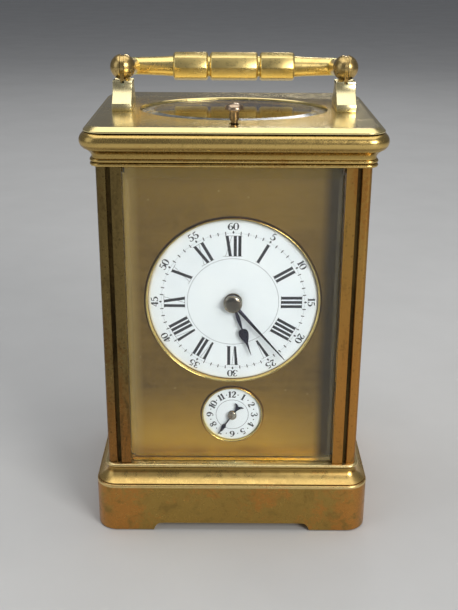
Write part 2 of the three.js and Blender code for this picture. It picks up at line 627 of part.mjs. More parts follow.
const BARREL_ARBOR = 1.7;
const plateHoles = [[goingBarrelAt, BARREL_ARBOR], [strikeBarrelAt, BARREL_ARBOR], [centreAt, ARBOR_RADIUS],
  [thirdAt, ARBOR_RADIUS], [contrateAt, ARBOR_RADIUS], [strikeAt, ARBOR_RADIUS], [flyAt, ARBOR_RADIUS]];
part("front_plate", movementPlate(PLATES.front, [...plateHoles, [minuteWheelAt, ARBOR_RADIUS],
  [alarmAt, ARBOR_RADIUS]]), "brass");
part("back_plate", movementPlate(backPlateFront, [...plateHoles, [hammerAt, ARBOR_RADIUS]]), "brass");

const STANDOFF = { x: 26, lower: 29, upper: 107.5, radius: 3, waist: 2.1 };
for (const [level, z] of [["lower", STANDOFF.lower], ["upper", STANDOFF.upper]]) {
  for (const [sideName, side] of SIDES) {
    const { radius, waist } = STANDOFF;
    const column = turnedAlongY([
      [radius, frontPlateBack], [radius, frontPlateBack + 3], [waist, frontPlateBack + 4],
      [waist, backPlateFront - 4], [radius, backPlateFront - 3], [radius, backPlateFront],
    ], 12);
    const taps = level === "lower" ? BASE_SCREWS.y.map((y) => uprightRod(BASE_SCREWS.radius + 0.2,
      -5, BASE_SCREWS.top - STANDOFF.lower + 0.4, 0, y, 10)) : [];
    part(`movement_pillar_${level}_${sideName}`, cut(column, ...taps), "brass", [side * STANDOFF.x, 0, z]);
  }
}

function baseScrew() {
  const { radius, head, seat, top } = BASE_SCREWS;
  return turned([[head, seat - 1.8], [head, seat - 0.1], [radius, seat - 0.1], [radius, top - 0.2]], 12);
}
for (const [sideName, side] of SIDES) {
  BASE_SCREWS.y.forEach((y, i) => {
    part(`base_screw_${ENDS[i][0]}_${sideName}`, baseScrew(), "steel", [side * BASE_SCREWS.x, y, 0]);
  });
}

// ---------------------------------------------------------------- time train

// An arbor from plate to plate; `front` and `back` may reach past the plates.
function arbor(front = PLATES.front + 0.2, back = PLATES.back - 0.2, radius = ARBOR_RADIUS) {
  return rodAlongY(radius, front, back, 0, 0, 10);
}

const WHEEL = 1;
const CENTRE_PLANE = -16.6;
const THIRD_PLANE = 11.4;
const SQUARE = { width: 2.6, back: 23.5 };

function windingArbor() {
  const { width, back } = SQUARE;
  const square = block(width, back - PLATES.back, width, 0, (back + PLATES.back) / 2, -width / 2);
  return join(arbor(PLATES.front + 0.2, PLATES.back + 0.5, BARREL_ARBOR), square);
}

function barrel(turn) {
  const { radius, teeth, front, length } = BARREL;
  const back = front + length;
  const drum = turnedAlongY([[radius, front + 1.6], [radius, back - 1], [radius - 1, back]], 32);
  return join(gear(teeth, BARREL_MODULE, turn, front, 1.6), drum, windingArbor());
}

const towardsGoingBarrel = Math.PI + barrelAngle;
const [goingX, goingZ] = goingBarrelAt;
part("going_barrel", barrel(meshedTurn(BARREL.teeth, towardsGoingBarrel)), "brass", [goingX, 0, goingZ]);

function centreWheel() {
  const pinion = gear(PINION_TEETH, BARREL_MODULE, towardsGoingBarrel, BARREL.front - 0.6, 2.8);
  return join(arbor(PLATES.front - 0.4, PLATES.back + 5), pinion,
    gear(CENTRE_TEETH, THIRD_MODULE, thirdAngle, CENTRE_PLANE, WHEEL));
}
part("centre_wheel", centreWheel(), "brass", [0, 0, DIAL.height]);

function thirdWheel() {
  const pinion = gear(LEAF_COUNT, THIRD_MODULE, meshedTurn(LEAF_COUNT, thirdAngle), CENTRE_PLANE - 0.5, 2);
  return join(arbor(), pinion, gear(THIRD_TEETH, THIRD_MODULE, contrateAngle, THIRD_PLANE, WHEEL));
}
part("third_wheel", thirdWheel(), "brass", [thirdAt[0], 0, thirdAt[1]]);

// The contrate wheel's teeth stand up from its rim, towards the escape pinion.
const CONTRATE = { radius: 10, rim: 1.2, plane: 2, crown: 5, module: 0.55 };
const ESCAPE = { y: 7.2, radius: 3.6, teeth: 15, height: 115.6 };

function contrateWheel() {
  const { radius, rim, plane, crown, module } = CONTRATE;
  const teeth = Math.round((2 * radius) / module);
  const rimRing = cut(gear(teeth, module, 0, plane, crown - plane),
    rodAlongY(radius - rim, plane - 1, crown + 1, 0, 0, 24));
  const web = rodAlongY(radius - rim / 2, plane, plane + 0.8, 0, 0, 24);
  const pinion = gear(LEAF_COUNT, THIRD_MODULE, meshedTurn(LEAF_COUNT, contrateAngle), THIRD_PLANE - 0.5, 2);
  return join(arbor(), web, rimRing, pinion);
}
part("contrate_wheel", contrateWheel(), "brass", [contrateAt[0], 0, contrateAt[1]]);

// ---------------------------------------------------------------- motion work

const MOTION_BACK = -20.6;
const HOUR_PLANE = -24.4;

function cannonPinion() {
  const tubeFront = MINUTE_HAND.front + MINUTE_HAND.thickness + 0.02;
  const tube = rodAlongY(HOUR_TUBE.inner - 0.2, tubeFront, -22, 0, 0, 12);
  const leaves = gear(CANNON_TEETH, MOTION_MODULE, minuteWheelAngle, MOTION_BACK - 2, 2);
  return cut(join(tube, leaves), rodAlongY(ARBOR_RADIUS + 0.02, -40, 0, 0, 0, 10));
}
part("cannon_pinion", cannonPinion(), "steel", [0, 0, DIAL.height]);

function minuteWheel() {
  const wheel = gear(MINUTE_WHEEL_TEETH, MOTION_MODULE, meshedTurn(MINUTE_WHEEL_TEETH, minuteWheelAngle),
    MOTION_BACK - 1.4, WHEEL);
  const pinion = gear(MINUTE_PINION_TEETH, HOUR_MODULE, minuteWheelAngle + Math.PI, HOUR_PLANE - 0.4, 2.6);
  return join(wheel, pinion, arbor(HOUR_PLANE - 0.4, PLATES.front + 1.5));
}
part("minute_wheel", minuteWheel(), "brass", [minuteWheelAt[0], 0, minuteWheelAt[1]]);

function hourWheel() {
  const wheel = gear(HOUR_TEETH, HOUR_MODULE, meshedTurn(HOUR_TEETH, minuteWheelAngle + Math.PI), HOUR_PLANE,
    WHEEL);
  const tube = rodAlongY(HOUR_TUBE.outer, HOUR_HAND.front, HOUR_PLANE + 0.5, 0, 0, 16);
  return cut(join(wheel, tube), rodAlongY(HOUR_TUBE.inner, -40, 0, 0, 0, 12));
}
part("hour_wheel", hourWheel(), "brass", [0, 0, DIAL.height]);

function alarmArbor() {
  const cam = rodAlongY(4, PLATES.front - 2.2, PLATES.front - 1, 0, 0, 20);
  return join(arbor(ALARM_HAND.front + ALARM_HAND.thickness + 0.02, PLATES.front + 1.6, 0.75), cam);
}
part("alarm_arbor", alarmArbor(), "brass", [0, 0, ALARM.height]);

// ---------------------------------------------------------------- platform escapement

const platformTop = PLATES.top + PLATFORM.thickness;
const BALANCE = { x: -9, y: -5, radius: 7.4, height: 117.6, rim: 1, top: 120.2 };
const COCK = { foot: 4.5, footX: -17.5, footY: -13.5, bottom: 120.6, thickness: 1.4 };

function platform() {
  const plate = block(2 * PLATFORM.halfWidth, PLATES.back - PLATES.front, PLATFORM.thickness, 0,
    (PLATES.back + PLATES.front) / 2, PLATES.top);
  const below = PLATES.top - 1;
  const above = platformTop + 1;
  return cut(plate, uprightRod(1.6, below, above, 0, ESCAPE.y),
    uprightRod(ARBOR_RADIUS, below, above, BALANCE.x, BALANCE.y));
}
part("platform", platform(), "brass");

function escapeWheel() {
  const outline = [];
  for (let k = 0; k < ESCAPE.teeth; k += 1) {
    const angle = (2 * Math.PI * k) / ESCAPE.teeth;
    outline.push([ESCAPE.radius * Math.cos(angle), ESCAPE.radius * Math.sin(angle)]);
    const back = angle + Math.PI / ESCAPE.teeth;
    outline.push([ESCAPE.radius * 0.74 * Math.cos(back), ESCAPE.radius * 0.74 * Math.sin(back)]);
  }
  const wheel = extruded(polygon(outline), 0.5).translate(0, 0, ESCAPE.height);
  const staff = uprightRod(0.4, contrateAt[1] + 8.4, 117.5, 0, 0, 8);
  const pinion = extruded(gearShape(7, 0.3), 3).translate(0, 0, contrateAt[1] + 8.6);
  return join(wheel, staff, pinion);
}
part("escape_wheel", escapeWheel(), "brass", [0, ESCAPE.y, 0]);

function balanceWheel() {
  const { radius, rim, height, top } = BALANCE;
  const hoop = ring(radius, radius - rim, height, height + 1, 32).rotateX(Math.PI / 2);
  const arm = block(2 * radius - rim, 1, 0.7, 0, 0, height + 0.15);
  const staff = uprightRod(0.5, platformTop - 0.8, top, 0, 0, 8);
  return join(hoop, arm, staff, uprightRod(1.2, height, height + 1));
}
part("balance_wheel", balanceWheel(), "polishedBrass", [BALANCE.x, BALANCE.y, 0]);

function balanceCock() {
  const { foot, footX, footY, bottom, thickness } = COCK;
  const run = Math.hypot(BALANCE.x - footX, BALANCE.y - footY);
  const heading = Math.atan2(BALANCE.y - footY, BALANCE.x - footX);
  const arm = block(run, 3.4, thickness, run / 2, 0, bottom).rotateZ(heading).translate(footX, footY, 0);
  const boss = uprightRod(2.6, bottom, bottom + thickness, BALANCE.x, BALANCE.y, 20);
  const leg = block(foot, foot, bottom + thickness - platformTop, footX, footY, platformTop);
  return join(arm, boss, leg);
}
part("balance_cock", balanceCock(), "brass");

// ---------------------------------------------------------------- strike work

const towardsStrike = strikeAngle;
part("strike_barrel", barrel(towardsStrike), "brass", [strikeBarrelAt[0], 0, strikeBarrelAt[1]]);

function strikeWheel() {
  const turn = meshedTurn(PINION_TEETH, towardsStrike);
  const pinion = gear(PINION_TEETH, BARREL_MODULE, turn, BARREL.front - 0.4, 2.4);
  return join(arbor(), pinion, gear(STRIKE_TEETH, THIRD_MODULE, flyAngle, THIRD_PLANE, WHEEL));
}
part("strike_wheel", strikeWheel(), "brass", [strikeAt[0], 0, strikeAt[1]]);

const FLY = { span: 11, front: -6, length: 12, thickness: 0.6 };
function fly() {
  const vanes = block(FLY.span, FLY.length, FLY.thickness, 0, FLY.front + FLY.length / 2, -FLY.thickness / 2);
  const pinion = gear(LEAF_COUNT, THIRD_MODULE, meshedTurn(LEAF_COUNT, flyAngle), THIRD_PLANE - 0.5, 2);
  return join(arbor(), vanes, pinion);
}
part("fly", fly(), "brass", [flyAt[0], 0, flyAt[1]]);

const GONG = { radius: 25.5, pitch: 2.6, turns: 2.25, wire: 0.6, y: 20.5, height: 64 };

class Spiral extends THREE.Curve {
  getPoint(t, target = new THREE.Vector3()) {
    const angle = -Math.PI / 2 + t * GONG.turns * 2 * Math.PI;
    const radius = GONG.radius - GONG.pitch * GONG.turns * (1 - t);
    return target.set(radius * Math.cos(angle), 0, radius * Math.sin(angle));
  }
}

const gongStart = GONG.radius - GONG.pitch * GONG.turns;
function gong() {
  const half = GONG.wire;
  const section = polygon([[-half, -half], [half, -half], [half, half], [-half, half]]);
  return new THREE.ExtrudeGeometry(section, { steps: 64, bevelEnabled: false, extrudePath: new Spiral() });
}
part("gong", gong(), "blued", [0, GONG.y, GONG.height]);

// The block's slot holds the inner end of the coil.
function gongBlock() {
  const depth = GONG.y + 1.6 - PLATES.back;
  const body = block(7, depth, 6, 0, PLATES.back + depth / 2, -gongStart - 1.2);
  const slot = 2 * GONG.wire + 1.7;
  return cut(body, block(8, 2 * GONG.wire + 0.8, slot, 0, GONG.y, -gongStart - slot / 2));
}
part("gong_block", gongBlock(), "brass", [0, 0, GONG.height]);

const HAMMER = { head: 2.2, headLength: 4.4, strikeAngle: 40 * DEGREE, gap: 1 };
function hammer() {
  const headReach = GONG.radius + GONG.wire + HAMMER.gap + HAMMER.headLength / 2;
  const headX = headReach * Math.cos(HAMMER.strikeAngle) - hammerAt[0];
  const headZ = GONG.height + headReach * Math.sin(HAMMER.strikeAngle) - hammerAt[1];
  const head = rodAlongX(HAMMER.head, -HAMMER.headLength / 2, HAMMER.headLength / 2)
    .rotateY(-HAMMER.strikeAngle).translate(headX, GONG.y, headZ);
  const reach = Math.hypot(headX, headZ);
  const arm = block(reach, 1.2, 1.4, reach / 2, GONG.y, -0.7).rotateY(-Math.atan2(headZ, headX));
  return join(arm, head, rodAlongY(ARBOR_RADIUS, backPlateFront - 4, GONG.y + 1, 0, 0, 10));
}
part("hammer", hammer(), "steel", [hammerAt[0], 0, hammerAt[1]]);

export default clock;
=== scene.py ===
"""Looks of the brass carriage clock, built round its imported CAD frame.

Helpers take millimetres and turn them into metres. Places come from the CAD nodes' boxes. The dial
faces -Y, and every piece rides the body of the node that it stands for.
"""
import json
import math

import bmesh
import bpy
from mathutils import Matrix, Vector


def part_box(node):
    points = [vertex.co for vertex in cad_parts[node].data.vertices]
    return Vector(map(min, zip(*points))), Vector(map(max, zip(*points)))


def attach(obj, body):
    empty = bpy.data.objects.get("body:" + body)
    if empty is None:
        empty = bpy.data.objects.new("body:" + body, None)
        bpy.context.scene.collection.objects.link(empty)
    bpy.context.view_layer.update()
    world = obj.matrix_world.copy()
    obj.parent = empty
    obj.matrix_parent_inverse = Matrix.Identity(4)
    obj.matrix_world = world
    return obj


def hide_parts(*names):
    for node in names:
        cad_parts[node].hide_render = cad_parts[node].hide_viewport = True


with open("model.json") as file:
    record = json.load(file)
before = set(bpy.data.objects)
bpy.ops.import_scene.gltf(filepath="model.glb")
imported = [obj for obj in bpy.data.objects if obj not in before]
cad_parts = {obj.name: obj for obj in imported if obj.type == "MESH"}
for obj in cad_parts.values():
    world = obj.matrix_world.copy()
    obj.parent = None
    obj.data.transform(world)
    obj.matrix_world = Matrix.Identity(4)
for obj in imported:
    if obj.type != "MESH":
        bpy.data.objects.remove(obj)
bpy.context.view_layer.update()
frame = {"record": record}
MM = 0.001
NODE_BODY = {node: body for body, nodes in frame["record"]["behaviour"]["bodies"].items()
             for node in nodes}


# ------------------------------------------------------------------ places from the CAD frame

class Box:
    """A node's box at rest, in millimetres."""

    def __init__(self, node):
        low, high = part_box(node)
        self.low = [value / MM for value in low]
        self.high = [value / MM for value in high]
        self.size = [b - a for a, b in zip(self.low, self.high)]
        self.mid = [(a + b) / 2 for a, b in zip(self.low, self.high)]


# ------------------------------------------------------------------ mesh helpers

def make_object(name, mesh, paint, node=None, rides=None):
    """Wraps a mesh as a piece that stands for `node`, or only rides the body of the node `rides`."""
    piece = bpy.data.objects.new(name, mesh)
    bpy.context.scene.collection.objects.link(piece)
    mesh.materials.clear()
    mesh.materials.append(PAINT[paint])
    if node:
        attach(piece, NODE_BODY[node])
        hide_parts(node)
    elif rides:
        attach(piece, NODE_BODY[rides])
    return piece


def repaint(mesh, paint, chosen):
    """Gives a second paint to the faces that `chosen` picks."""
    mesh.materials.append(PAINT[paint])
    for polygon in mesh.polygons:
        if chosen(polygon):
            polygon.material_index = 1


def mesh_from(verts, faces):
    """A mesh in metres from vertices in millimetres, with its faces turned outwards."""
    mesh = bpy.data.meshes.new("mesh")
    mesh.from_pydata([[c * MM for c in v] for v in verts], [], faces)
    work = bmesh.new()
    work.from_mesh(mesh)
    bmesh.ops.remove_doubles(work, verts=work.verts, dist=1e-7)
    bmesh.ops.recalc_face_normals(work, faces=work.faces)
    work.to_mesh(mesh)
    work.free()
    return mesh


def join_meshes(*meshes):
    """One mesh with the faces of all."""
    work = bmesh.new()
    for mesh in meshes:
        work.from_mesh(mesh)
    whole = bpy.data.meshes.new("joined")
    work.to_mesh(whole)
    work.free()
    return whole


def moved(mesh, matrix):
    mesh.transform(matrix)
    if matrix.determinant() < 0:
        mesh.flip_normals()
    return mesh


def shift(mesh, x=0.0, y=0.0, z=0.0):
    return moved(mesh, Matrix.Translation((x * MM, y * MM, z * MM)))


def turn(mesh, degrees, axis):
    return moved(mesh, Matrix.Rotation(math.radians(degrees), 4, axis))


def clockwise(mesh, degrees):
    """Turns a mesh about Y, clockwise as seen from the dial side."""
    return turn(mesh, degrees, "Y")


def loft(rings, closed=False):
    """Quads between rings of equal count; capped at both ends, or joined end to end if closed."""
    count = len(rings[0])
    verts = [p for ring in rings for p in ring]
    faces = []
    pairs = len(rings) if closed else len(rings) - 1
    for r in range(pairs):
        a, b = r * count, ((r + 1) % len(rings)) * count
        for i in range(count):
            j = (i + 1) % count
            faces.append((a + i, a + j, b + j, b + i))
    if not closed:
        faces.append(tuple(range(count - 1, -1, -1)))
        faces.append(tuple(range(len(verts) - count, len(verts))))
    return mesh_from(verts, faces)


def polar(radius, angle):
    return radius * math.cos(angle), radius * math.sin(angle)


def circle(radius, count):
    return [polar(radius, 2 * math.pi * i / count) for i in range(count)]


def lathe(profile, count=64, closed=False):
    """A profile of (radius, height) turned about Z; a closed profile makes a ring."""
    return loft([[(x, y, z) for x, y in circle(max(r, 1e-5), count)] for r, z in profile], closed)


def lathe_y(profile, count=64, closed=False):
    """The same about Y, with heights running to the back."""
    return turn(lathe(profile, count, closed), -90, "X")


def lathe_x(profile, count=64, closed=False):
    return turn(lathe(profile, count, closed), 90, "Y")


def rounded_rectangle(half_width, half_depth, radius, per_corner=10):
    points = []
    for quarter, (sx, sy) in enumerate(((1, 1), (-1, 1), (-1, -1), (1, -1))):
        for i in range(per_corner + 1):
            x, y = polar(radius, math.pi / 2 * (quarter + i / per_corner))
            points.append((sx * (half_width - radius) + x, sy * (half_depth - radius) + y))
    return points


def moulding(profile, half_width, half_depth, corner, per_corner=10):
    """A profile of (outset, height) led round a rounded rectangle, as a solid."""
    rings = []
    for outset, z in profile:
        ring = rounded_rectangle(half_width + outset, half_depth + outset, max(corner + outset, 0.05),
                                 per_corner)
        rings.append([(x, y, z) for x, y in ring])
    return loft(rings)


def prism(outline, low, high):
    """A flat outline in X-Y, extruded from low to high."""
    return loft([[(x, y, low) for x, y in outline], [(x, y, high) for x, y in outline]])


def facing(outline, front, back):
    """An outline seen from the dial side, as (x, z), extruded in Y."""
    return loft([[(x, front, z) for x, z in outline], [(x, back, z) for x, z in outline]])


def cuboid(low, high):
    (x0, y0, z0), (x1, y1, z1) = low, high
    return prism([(x0, y0), (x1, y0), (x1, y1), (x0, y1)], z0, z1)


def mirrored(half):
    """A closed outline from its right half."""
    return half + [(-x, z) for x, z in reversed(half)]


def arc(centre, radius, start, end, steps):
    """Points on an arc, angles in degrees."""
    turned = [polar(radius, math.radians(start + (end - start) * i / steps)) for i in range(steps + 1)]
    return [(centre[0] + x, centre[1] + y) for x, y in turned]


def evaluated(mesh, *modifiers):
    """The mesh after (type, settings) modifiers."""
    holder = bpy.data.objects.new("holder", mesh)
    bpy.context.scene.collection.objects.link(holder)
    for kind, settings in modifiers:
        modifier = holder.modifiers.new(kind, kind)
        for key, value in settings.items():
            setattr(modifier, key, value)
    graph = bpy.context.evaluated_depsgraph_get()
    result = bpy.data.meshes.new_from_object(holder.evaluated_get(graph))
    bpy.data.objects.remove(holder)
    return result


def boolean(mesh, tool, operation="DIFFERENCE"):
    holder = bpy.data.objects.new("tool", tool)
    bpy.context.scene.collection.objects.link(holder)
    result = evaluated(mesh, ("BOOLEAN", {"operation": operation, "object": holder, "solver": "EXACT"}))
    bpy.data.objects.remove(holder)
    return result


def cut(mesh, *tools):
    for tool in tools:
        mesh = boolean(mesh, tool)
    return mesh


def merge(mesh, *others):
    for other in others:
        mesh = boolean(mesh, other, "UNION")
    return mesh


def smooth(mesh, sharp_degrees=35):
    for polygon in mesh.polygons:
        polygon.use_smooth = True
    mesh.set_sharp_from_angle(angle=math.radians(sharp_degrees))
    return mesh


def eased(mesh, width=0.2, segments=2, angle=35):
    """Rounds the sharp edges by `width` and shades the rest smooth."""
    return smooth(evaluated(mesh, ("BEVEL", {
        "width": width * MM, "segments": segments, "limit_method": "ANGLE",
        "angle_limit": math.radians(angle), "use_clamp_overlap": True, "harden_normals": False})), 50)


# ------------------------------------------------------------------ material nodes

class Graph:
    """A material being wired up, with short calls for the nodes used here."""

    def __init__(self, name):
        self.material = bpy.data.materials.new(name)
        self.material.use_nodes = True
        self.tree = self.material.node_tree
        self.tree.nodes.clear()
        self.output = self.node("ShaderNodeOutputMaterial")
        self.place = self.node("ShaderNodeTexCoord").outputs["Object"]

    def node(self, kind, **settings):
        made = self.tree.nodes.new(kind)
        for key, value in settings.items():
            setattr(made, key, value)
        return made

    def put(self, value, socket):
        """Links a socket, or sets a plain value."""
        if isinstance(value, bpy.types.NodeSocket):
            self.tree.links.new(value, socket)
        elif hasattr(socket.default_value, "__len__") and len(value) == 3 and len(socket.default_value) == 4:
            socket.default_value = (*value, 1)
        else:
            socket.default_value = value

    def stretched(self, scale, offset=(0, 0, 0)):
        mapping = self.node("ShaderNodeMapping")
        self.put(self.place, mapping.inputs["Vector"])
        mapping.inputs["Scale"].default_value = scale
        mapping.inputs["Location"].default_value = offset
        return mapping.outputs["Vector"]

    def noise(self, size_mm, detail=4.0, roughness=0.55, distortion=0.0, stretch=(1, 1, 1), seed=0.0):
        """Noise with features about `size_mm` across."""
        made = self.node("ShaderNodeTexNoise")
        self.put(self.stretched(stretch, (seed, seed * 0.37, -seed)), made.inputs["Vector"])
        made.inputs["Scale"].default_value = 1 / (size_mm * MM)
        made.inputs["Detail"].default_value = detail
        made.inputs["Roughness"].default_value = roughness
        made.inputs["Distortion"].default_value = distortion
        return made.outputs["Fac"]

    def spots(self, size_mm, stretch=(1, 1, 1), seed=0.0):
        """Distance to scattered points about `size_mm` apart."""
        made = self.node("ShaderNodeTexVoronoi")
        self.put(self.stretched(stretch, (seed, -seed, seed * 0.7)), made.inputs["Vector"])
        made.inputs["Scale"].default_value = 1 / (size_mm * MM)
        return made.outputs["Distance"]

    def window(self, value, low, high, to_low=0.0, to_high=1.0):
        """Maps low..high to to_low..to_high, clamped."""
        made = self.node("ShaderNodeMapRange", clamp=True)
        self.put(value, made.inputs["Value"])
        for key, number in (("From Min", low), ("From Max", high), ("To Min", to_low), ("To Max", to_high)):
            made.inputs[key].default_value = number
        return made.outputs["Result"]

    def math(self, operation, a, b=0.0):
        made = self.node("ShaderNodeMath", operation=operation, use_clamp=operation in ("ADD", "SUBTRACT"))
        self.put(a, made.inputs[0])
        self.put(b, made.inputs[1])
        return made.outputs["Value"]

    def blend(self, factor, a, b):
        made = self.node("ShaderNodeMix", data_type="RGBA")
        self.put(factor, made.inputs["Factor"])
        self.put(a, made.inputs[6])
        self.put(b, made.inputs[7])
        return made.outputs[2]

    def along(self, axis):
        """The place along one axis, in metres."""
        split = self.node("ShaderNodeSeparateXYZ")
        self.put(self.place, split.inputs["Vector"])
        return split.outputs[axis]

    def crevice(self, reach_mm, inside=False):
        """1 on open surface, less within corners nearer than `reach_mm` (or near edges, if inside)."""
        made = self.node("ShaderNodeAmbientOcclusion", samples=6, inside=inside)
        made.inputs["Distance"].default_value = reach_mm * MM
        return made.outputs["AO"]

    def bump(self, height, strength, depth_mm, below=None):
        made = self.node("ShaderNodeBump")
        self.put(height, made.inputs["Height"])
        made.inputs["Strength"].default_value = strength
        made.inputs["Distance"].default_value = depth_mm * MM
        if below is not None:
            self.put(below, made.inputs["Normal"])
        return made.outputs["Normal"]

    def surface(self, color, roughness, metallic, normal=None, **extra):
        shader = self.node("ShaderNodeBsdfPrincipled")
        self.put(color, shader.inputs["Base Color"])
        self.put(roughness, shader.inputs["Roughness"])
        shader.inputs["Metallic"].default_value = metallic
        for key, value in extra.items():
            shader.inputs[key.replace("_", " ").title()].default_value = value
        if normal is not None:
            self.put(normal, shader.inputs["Normal"])
        self.put(shader.outputs["BSDF"], self.output.inputs["Surface"])
        return self.material

    def clear_shader(self, color, roughness):
        """Clear plate glass."""
        shader = self.node("ShaderNodeBsdfPrincipled")
        self.put(color, shader.inputs["Base Color"])
        self.put(roughness, shader.inputs["Roughness"])
        shader.inputs["Transmission Weight"].default_value = 1.0
        shader.inputs["IOR"].default_value = 1.42
        return shader

    def mixed(self, factor, first, second):
        """Finishes the material as a mix of two shaders."""
        mix = self.node("ShaderNodeMixShader")
        self.put(factor, mix.inputs["Fac"])
        self.put(first.outputs["BSDF"], mix.inputs[1])
        self.put(second.outputs["BSDF"], mix.inputs[2])
        self.put(mix.outputs["Shader"], self.output.inputs["Surface"])
        return self.material


# ------------------------------------------------------------------ materials

def brass(name, clean, warm, dull, warmth=0.5, dirt=0.5, shine=(0.2, 0.42), seed=0.0, grain=None,
          pits=0.0, ends=0.0, grime_and_shade=0.8, speckle=0.22, relief=0.16, bands=(), foot=None):
    """Old brass: warm and dull stains, grime and painted shade in corners, bright rubbed edges and fine
    scratches.

    warmth and dirt are the shares of the surface that the stains reach; `ends` adds warmth towards
    the left and right ends of the case; `grain` is the direction that brushing runs along.
    `bands` lists (from height, to height, color) of painted highlights and painted shade, in metres.
    `foot` is (from height, to height, color): it turns to that color downwards.
    """
    g = Graph(name)
    drawn = (1, 1, 0.22) if grain == "Z" else (1, 1, 1)
    stain = g.noise(9, detail=5, roughness=0.62, distortion=0.6, stretch=drawn, seed=seed)
    fine = g.noise(1.1, detail=6, roughness=0.7, seed=seed + 2)
    speck = g.noise(0.28, detail=3, roughness=0.6, seed=seed + 5)
    if ends:
        across = g.math("ABSOLUTE", g.along("X"))
        stain = g.math("ADD", stain, g.window(across, 0.026, 0.046, 0, ends))
    rub = g.math("ADD", stain, g.window(fine, 0.3, 0.7, -0.12, 0.12))
    warm_mask = g.window(rub, 0.66 - 0.3 * warmth, 0.82 - 0.3 * warmth)
    color = g.blend(warm_mask, clean, warm)
    if foot:
        color = g.blend(g.window(g.along("Z"), foot[0], foot[1], 0, 0.9), color, foot[2])
    cloud = g.noise(5.5, detail=6, roughness=0.66, distortion=0.9, stretch=drawn, seed=seed + 9)
    cloudy = g.math("ADD", cloud, g.window(fine, 0.3, 0.7, -0.1, 0.1))
    dull_mask = g.window(cloudy, 0.68 - 0.32 * dirt, 0.84 - 0.3 * dirt, 0, 0.85)
    color = g.blend(dull_mask, color, dull)
    # Painted highlights and shade: set heights take a lighter or darker tone.
    for low, high, tone in bands:
        inside = g.math("MULTIPLY", g.window(g.along("Z"), low - 0.0002, low + 0.0002),
                        g.window(g.along("Z"), high + 0.0002, high - 0.0002))
        color = g.blend(g.math("MULTIPLY", inside, g.window(fine, 0.2, 0.75, 1.0, 0.6)), color, tone)
    color = g.blend(g.window(speck, 0.35, 0.7, 0, speckle), color, [c * 0.45 for c in dull])
    if pits:
        pit = g.spots(1.6, seed=seed)
        pit = g.math("ADD", pit, g.window(fine, 0.3, 0.7, -0.15, 0.25))
        color = g.blend(g.window(pit, 0.28, 0.16, 0, pits), color, (0.028, 0.018, 0.009))
    # Grime and painted shade: the colour turns near-black within corners.
    corner = g.crevice(0.6)
    color = g.blend(g.window(corner, 0.25, 0.78, grime_and_shade, 0), color, (0.05, 0.03, 0.012))
    edge = g.crevice(0.45, inside=True)
    color = g.blend(g.window(edge, 0.25, 0.85, 0.7, 0), color, [min(1, c * 1.35) for c in clean])
    rough = g.window(cloudy, 0.35, 0.72, shine[0], shine[1])
    rough = g.math("ADD", rough, g.window(speck, 0.4, 0.7, 0, 0.06))
    stretch = {"X": (0.02, 1, 1), "Y": (1, 0.02, 1), "Z": (1, 1, 0.02)}.get(grain, (0.5, 1, 0.7))
    scratch = g.noise(0.16, detail=2, roughness=0.5, stretch=stretch, seed=seed + 3)
    normal = g.bump(scratch, 0.2 if grain else 0.1, 0.02)
    normal = g.bump(fine, relief, 0.05, normal)
    return g.surface(color, rough, 1.0, normal)


def gilt_mask():
    """Old satin gilding: cloudy and streaked, with a few bright flecks; painted on it are a golden reflection
    of the base low down, the right pillar's shadow along the right and a pale highlight at the left edge.
    """
    g = Graph("satin_gilt")
    grain = g.noise(0.16, detail=3, roughness=0.6)
    cloud = g.noise(9, detail=6, roughness=0.62, distortion=0.8, seed=4)
    streak = g.noise(5, detail=4, roughness=0.6, stretch=(0.22, 1, 1.4), seed=11)
    fleck = g.spots(5.5, seed=2)
    color = g.blend(g.window(cloud, 0.35, 0.68), (0.27, 0.158, 0.028), (0.19, 0.112, 0.023))
    color = g.blend(g.window(streak, 0.42, 0.66, 0, 0.55), color, (0.33, 0.2, 0.037))
    color = g.blend(g.window(grain, 0.35, 0.7, 0, 0.3), color, (0.17, 0.1, 0.025))
    # Painted reflection of the base's bright shoulder: more golden low down.
    color = g.blend(g.window(g.along("Z"), 0.05, 0.027, 0, 0.9), color, (0.8, 0.46, 0.06))
    color = g.blend(g.window(g.along("Z"), 0.1, 0.12, 0, 0.6), color, (0.36, 0.22, 0.036))
    # Painted shadow of the right pillar: darker towards the right, darkest in a band at the right edge.
    color = g.blend(g.window(g.along("X"), 0.012, 0.033, 0, 0.4), color, (0.1, 0.068, 0.025))
    color = g.blend(g.window(g.along("X"), 0.0275, 0.0305, 0, 0.85), color, (0.045, 0.034, 0.014))
    # Painted highlight: paler gold along the left edge, from the front pane's bevel.
    color = g.blend(g.window(g.along("X"), -0.0295, -0.0325, 0, 0.45), color, (0.7, 0.5, 0.18))
    color = g.blend(g.window(fleck, 0.055, 0.03, 0, 0.6), color, (0.62, 0.46, 0.18))
    rough = g.window(cloud, 0.3, 0.7, 0.34, 0.48)
    return g.surface(color, rough, 1.0, g.bump(grain, 0.3, 0.015, g.bump(streak, 0.15, 0.1)))


def enamel():
    """Fired white enamel: cool white, glassy, with the faintest unevenness."""
    g = Graph("white_enamel")
    cloud = g.noise(14, detail=3, roughness=0.5)
    speck = g.spots(4.2, seed=7)
    color = g.blend(g.window(cloud, 0.3, 0.7), (0.735, 0.775, 0.825), (0.79, 0.82, 0.855))
    color = g.blend(g.window(speck, 0.02, 0.01, 0, 0.35), color, (0.4, 0.38, 0.33))
    ripple = g.noise(5, detail=2, roughness=0.4, seed=1)
    return g.surface(color, g.window(cloud, 0.3, 0.7, 0.09, 0.15), 0.0, g.bump(ripple, 0.12, 0.05),
                     coat_weight=0.5, coat_roughness=0.04)


def ink(name, tone):
    """Fired black: slightly worn, thinner in places."""
    g = Graph(name)
    wear = g.noise(0.5, detail=4, roughness=0.6)
    color = g.blend(g.window(wear, 0.45, 0.75, 0, 0.5), tone, [c * 2.4 + 0.01 for c in tone])
    return g.surface(color, g.window(wear, 0.3, 0.7, 0.25, 0.4), 0.0)


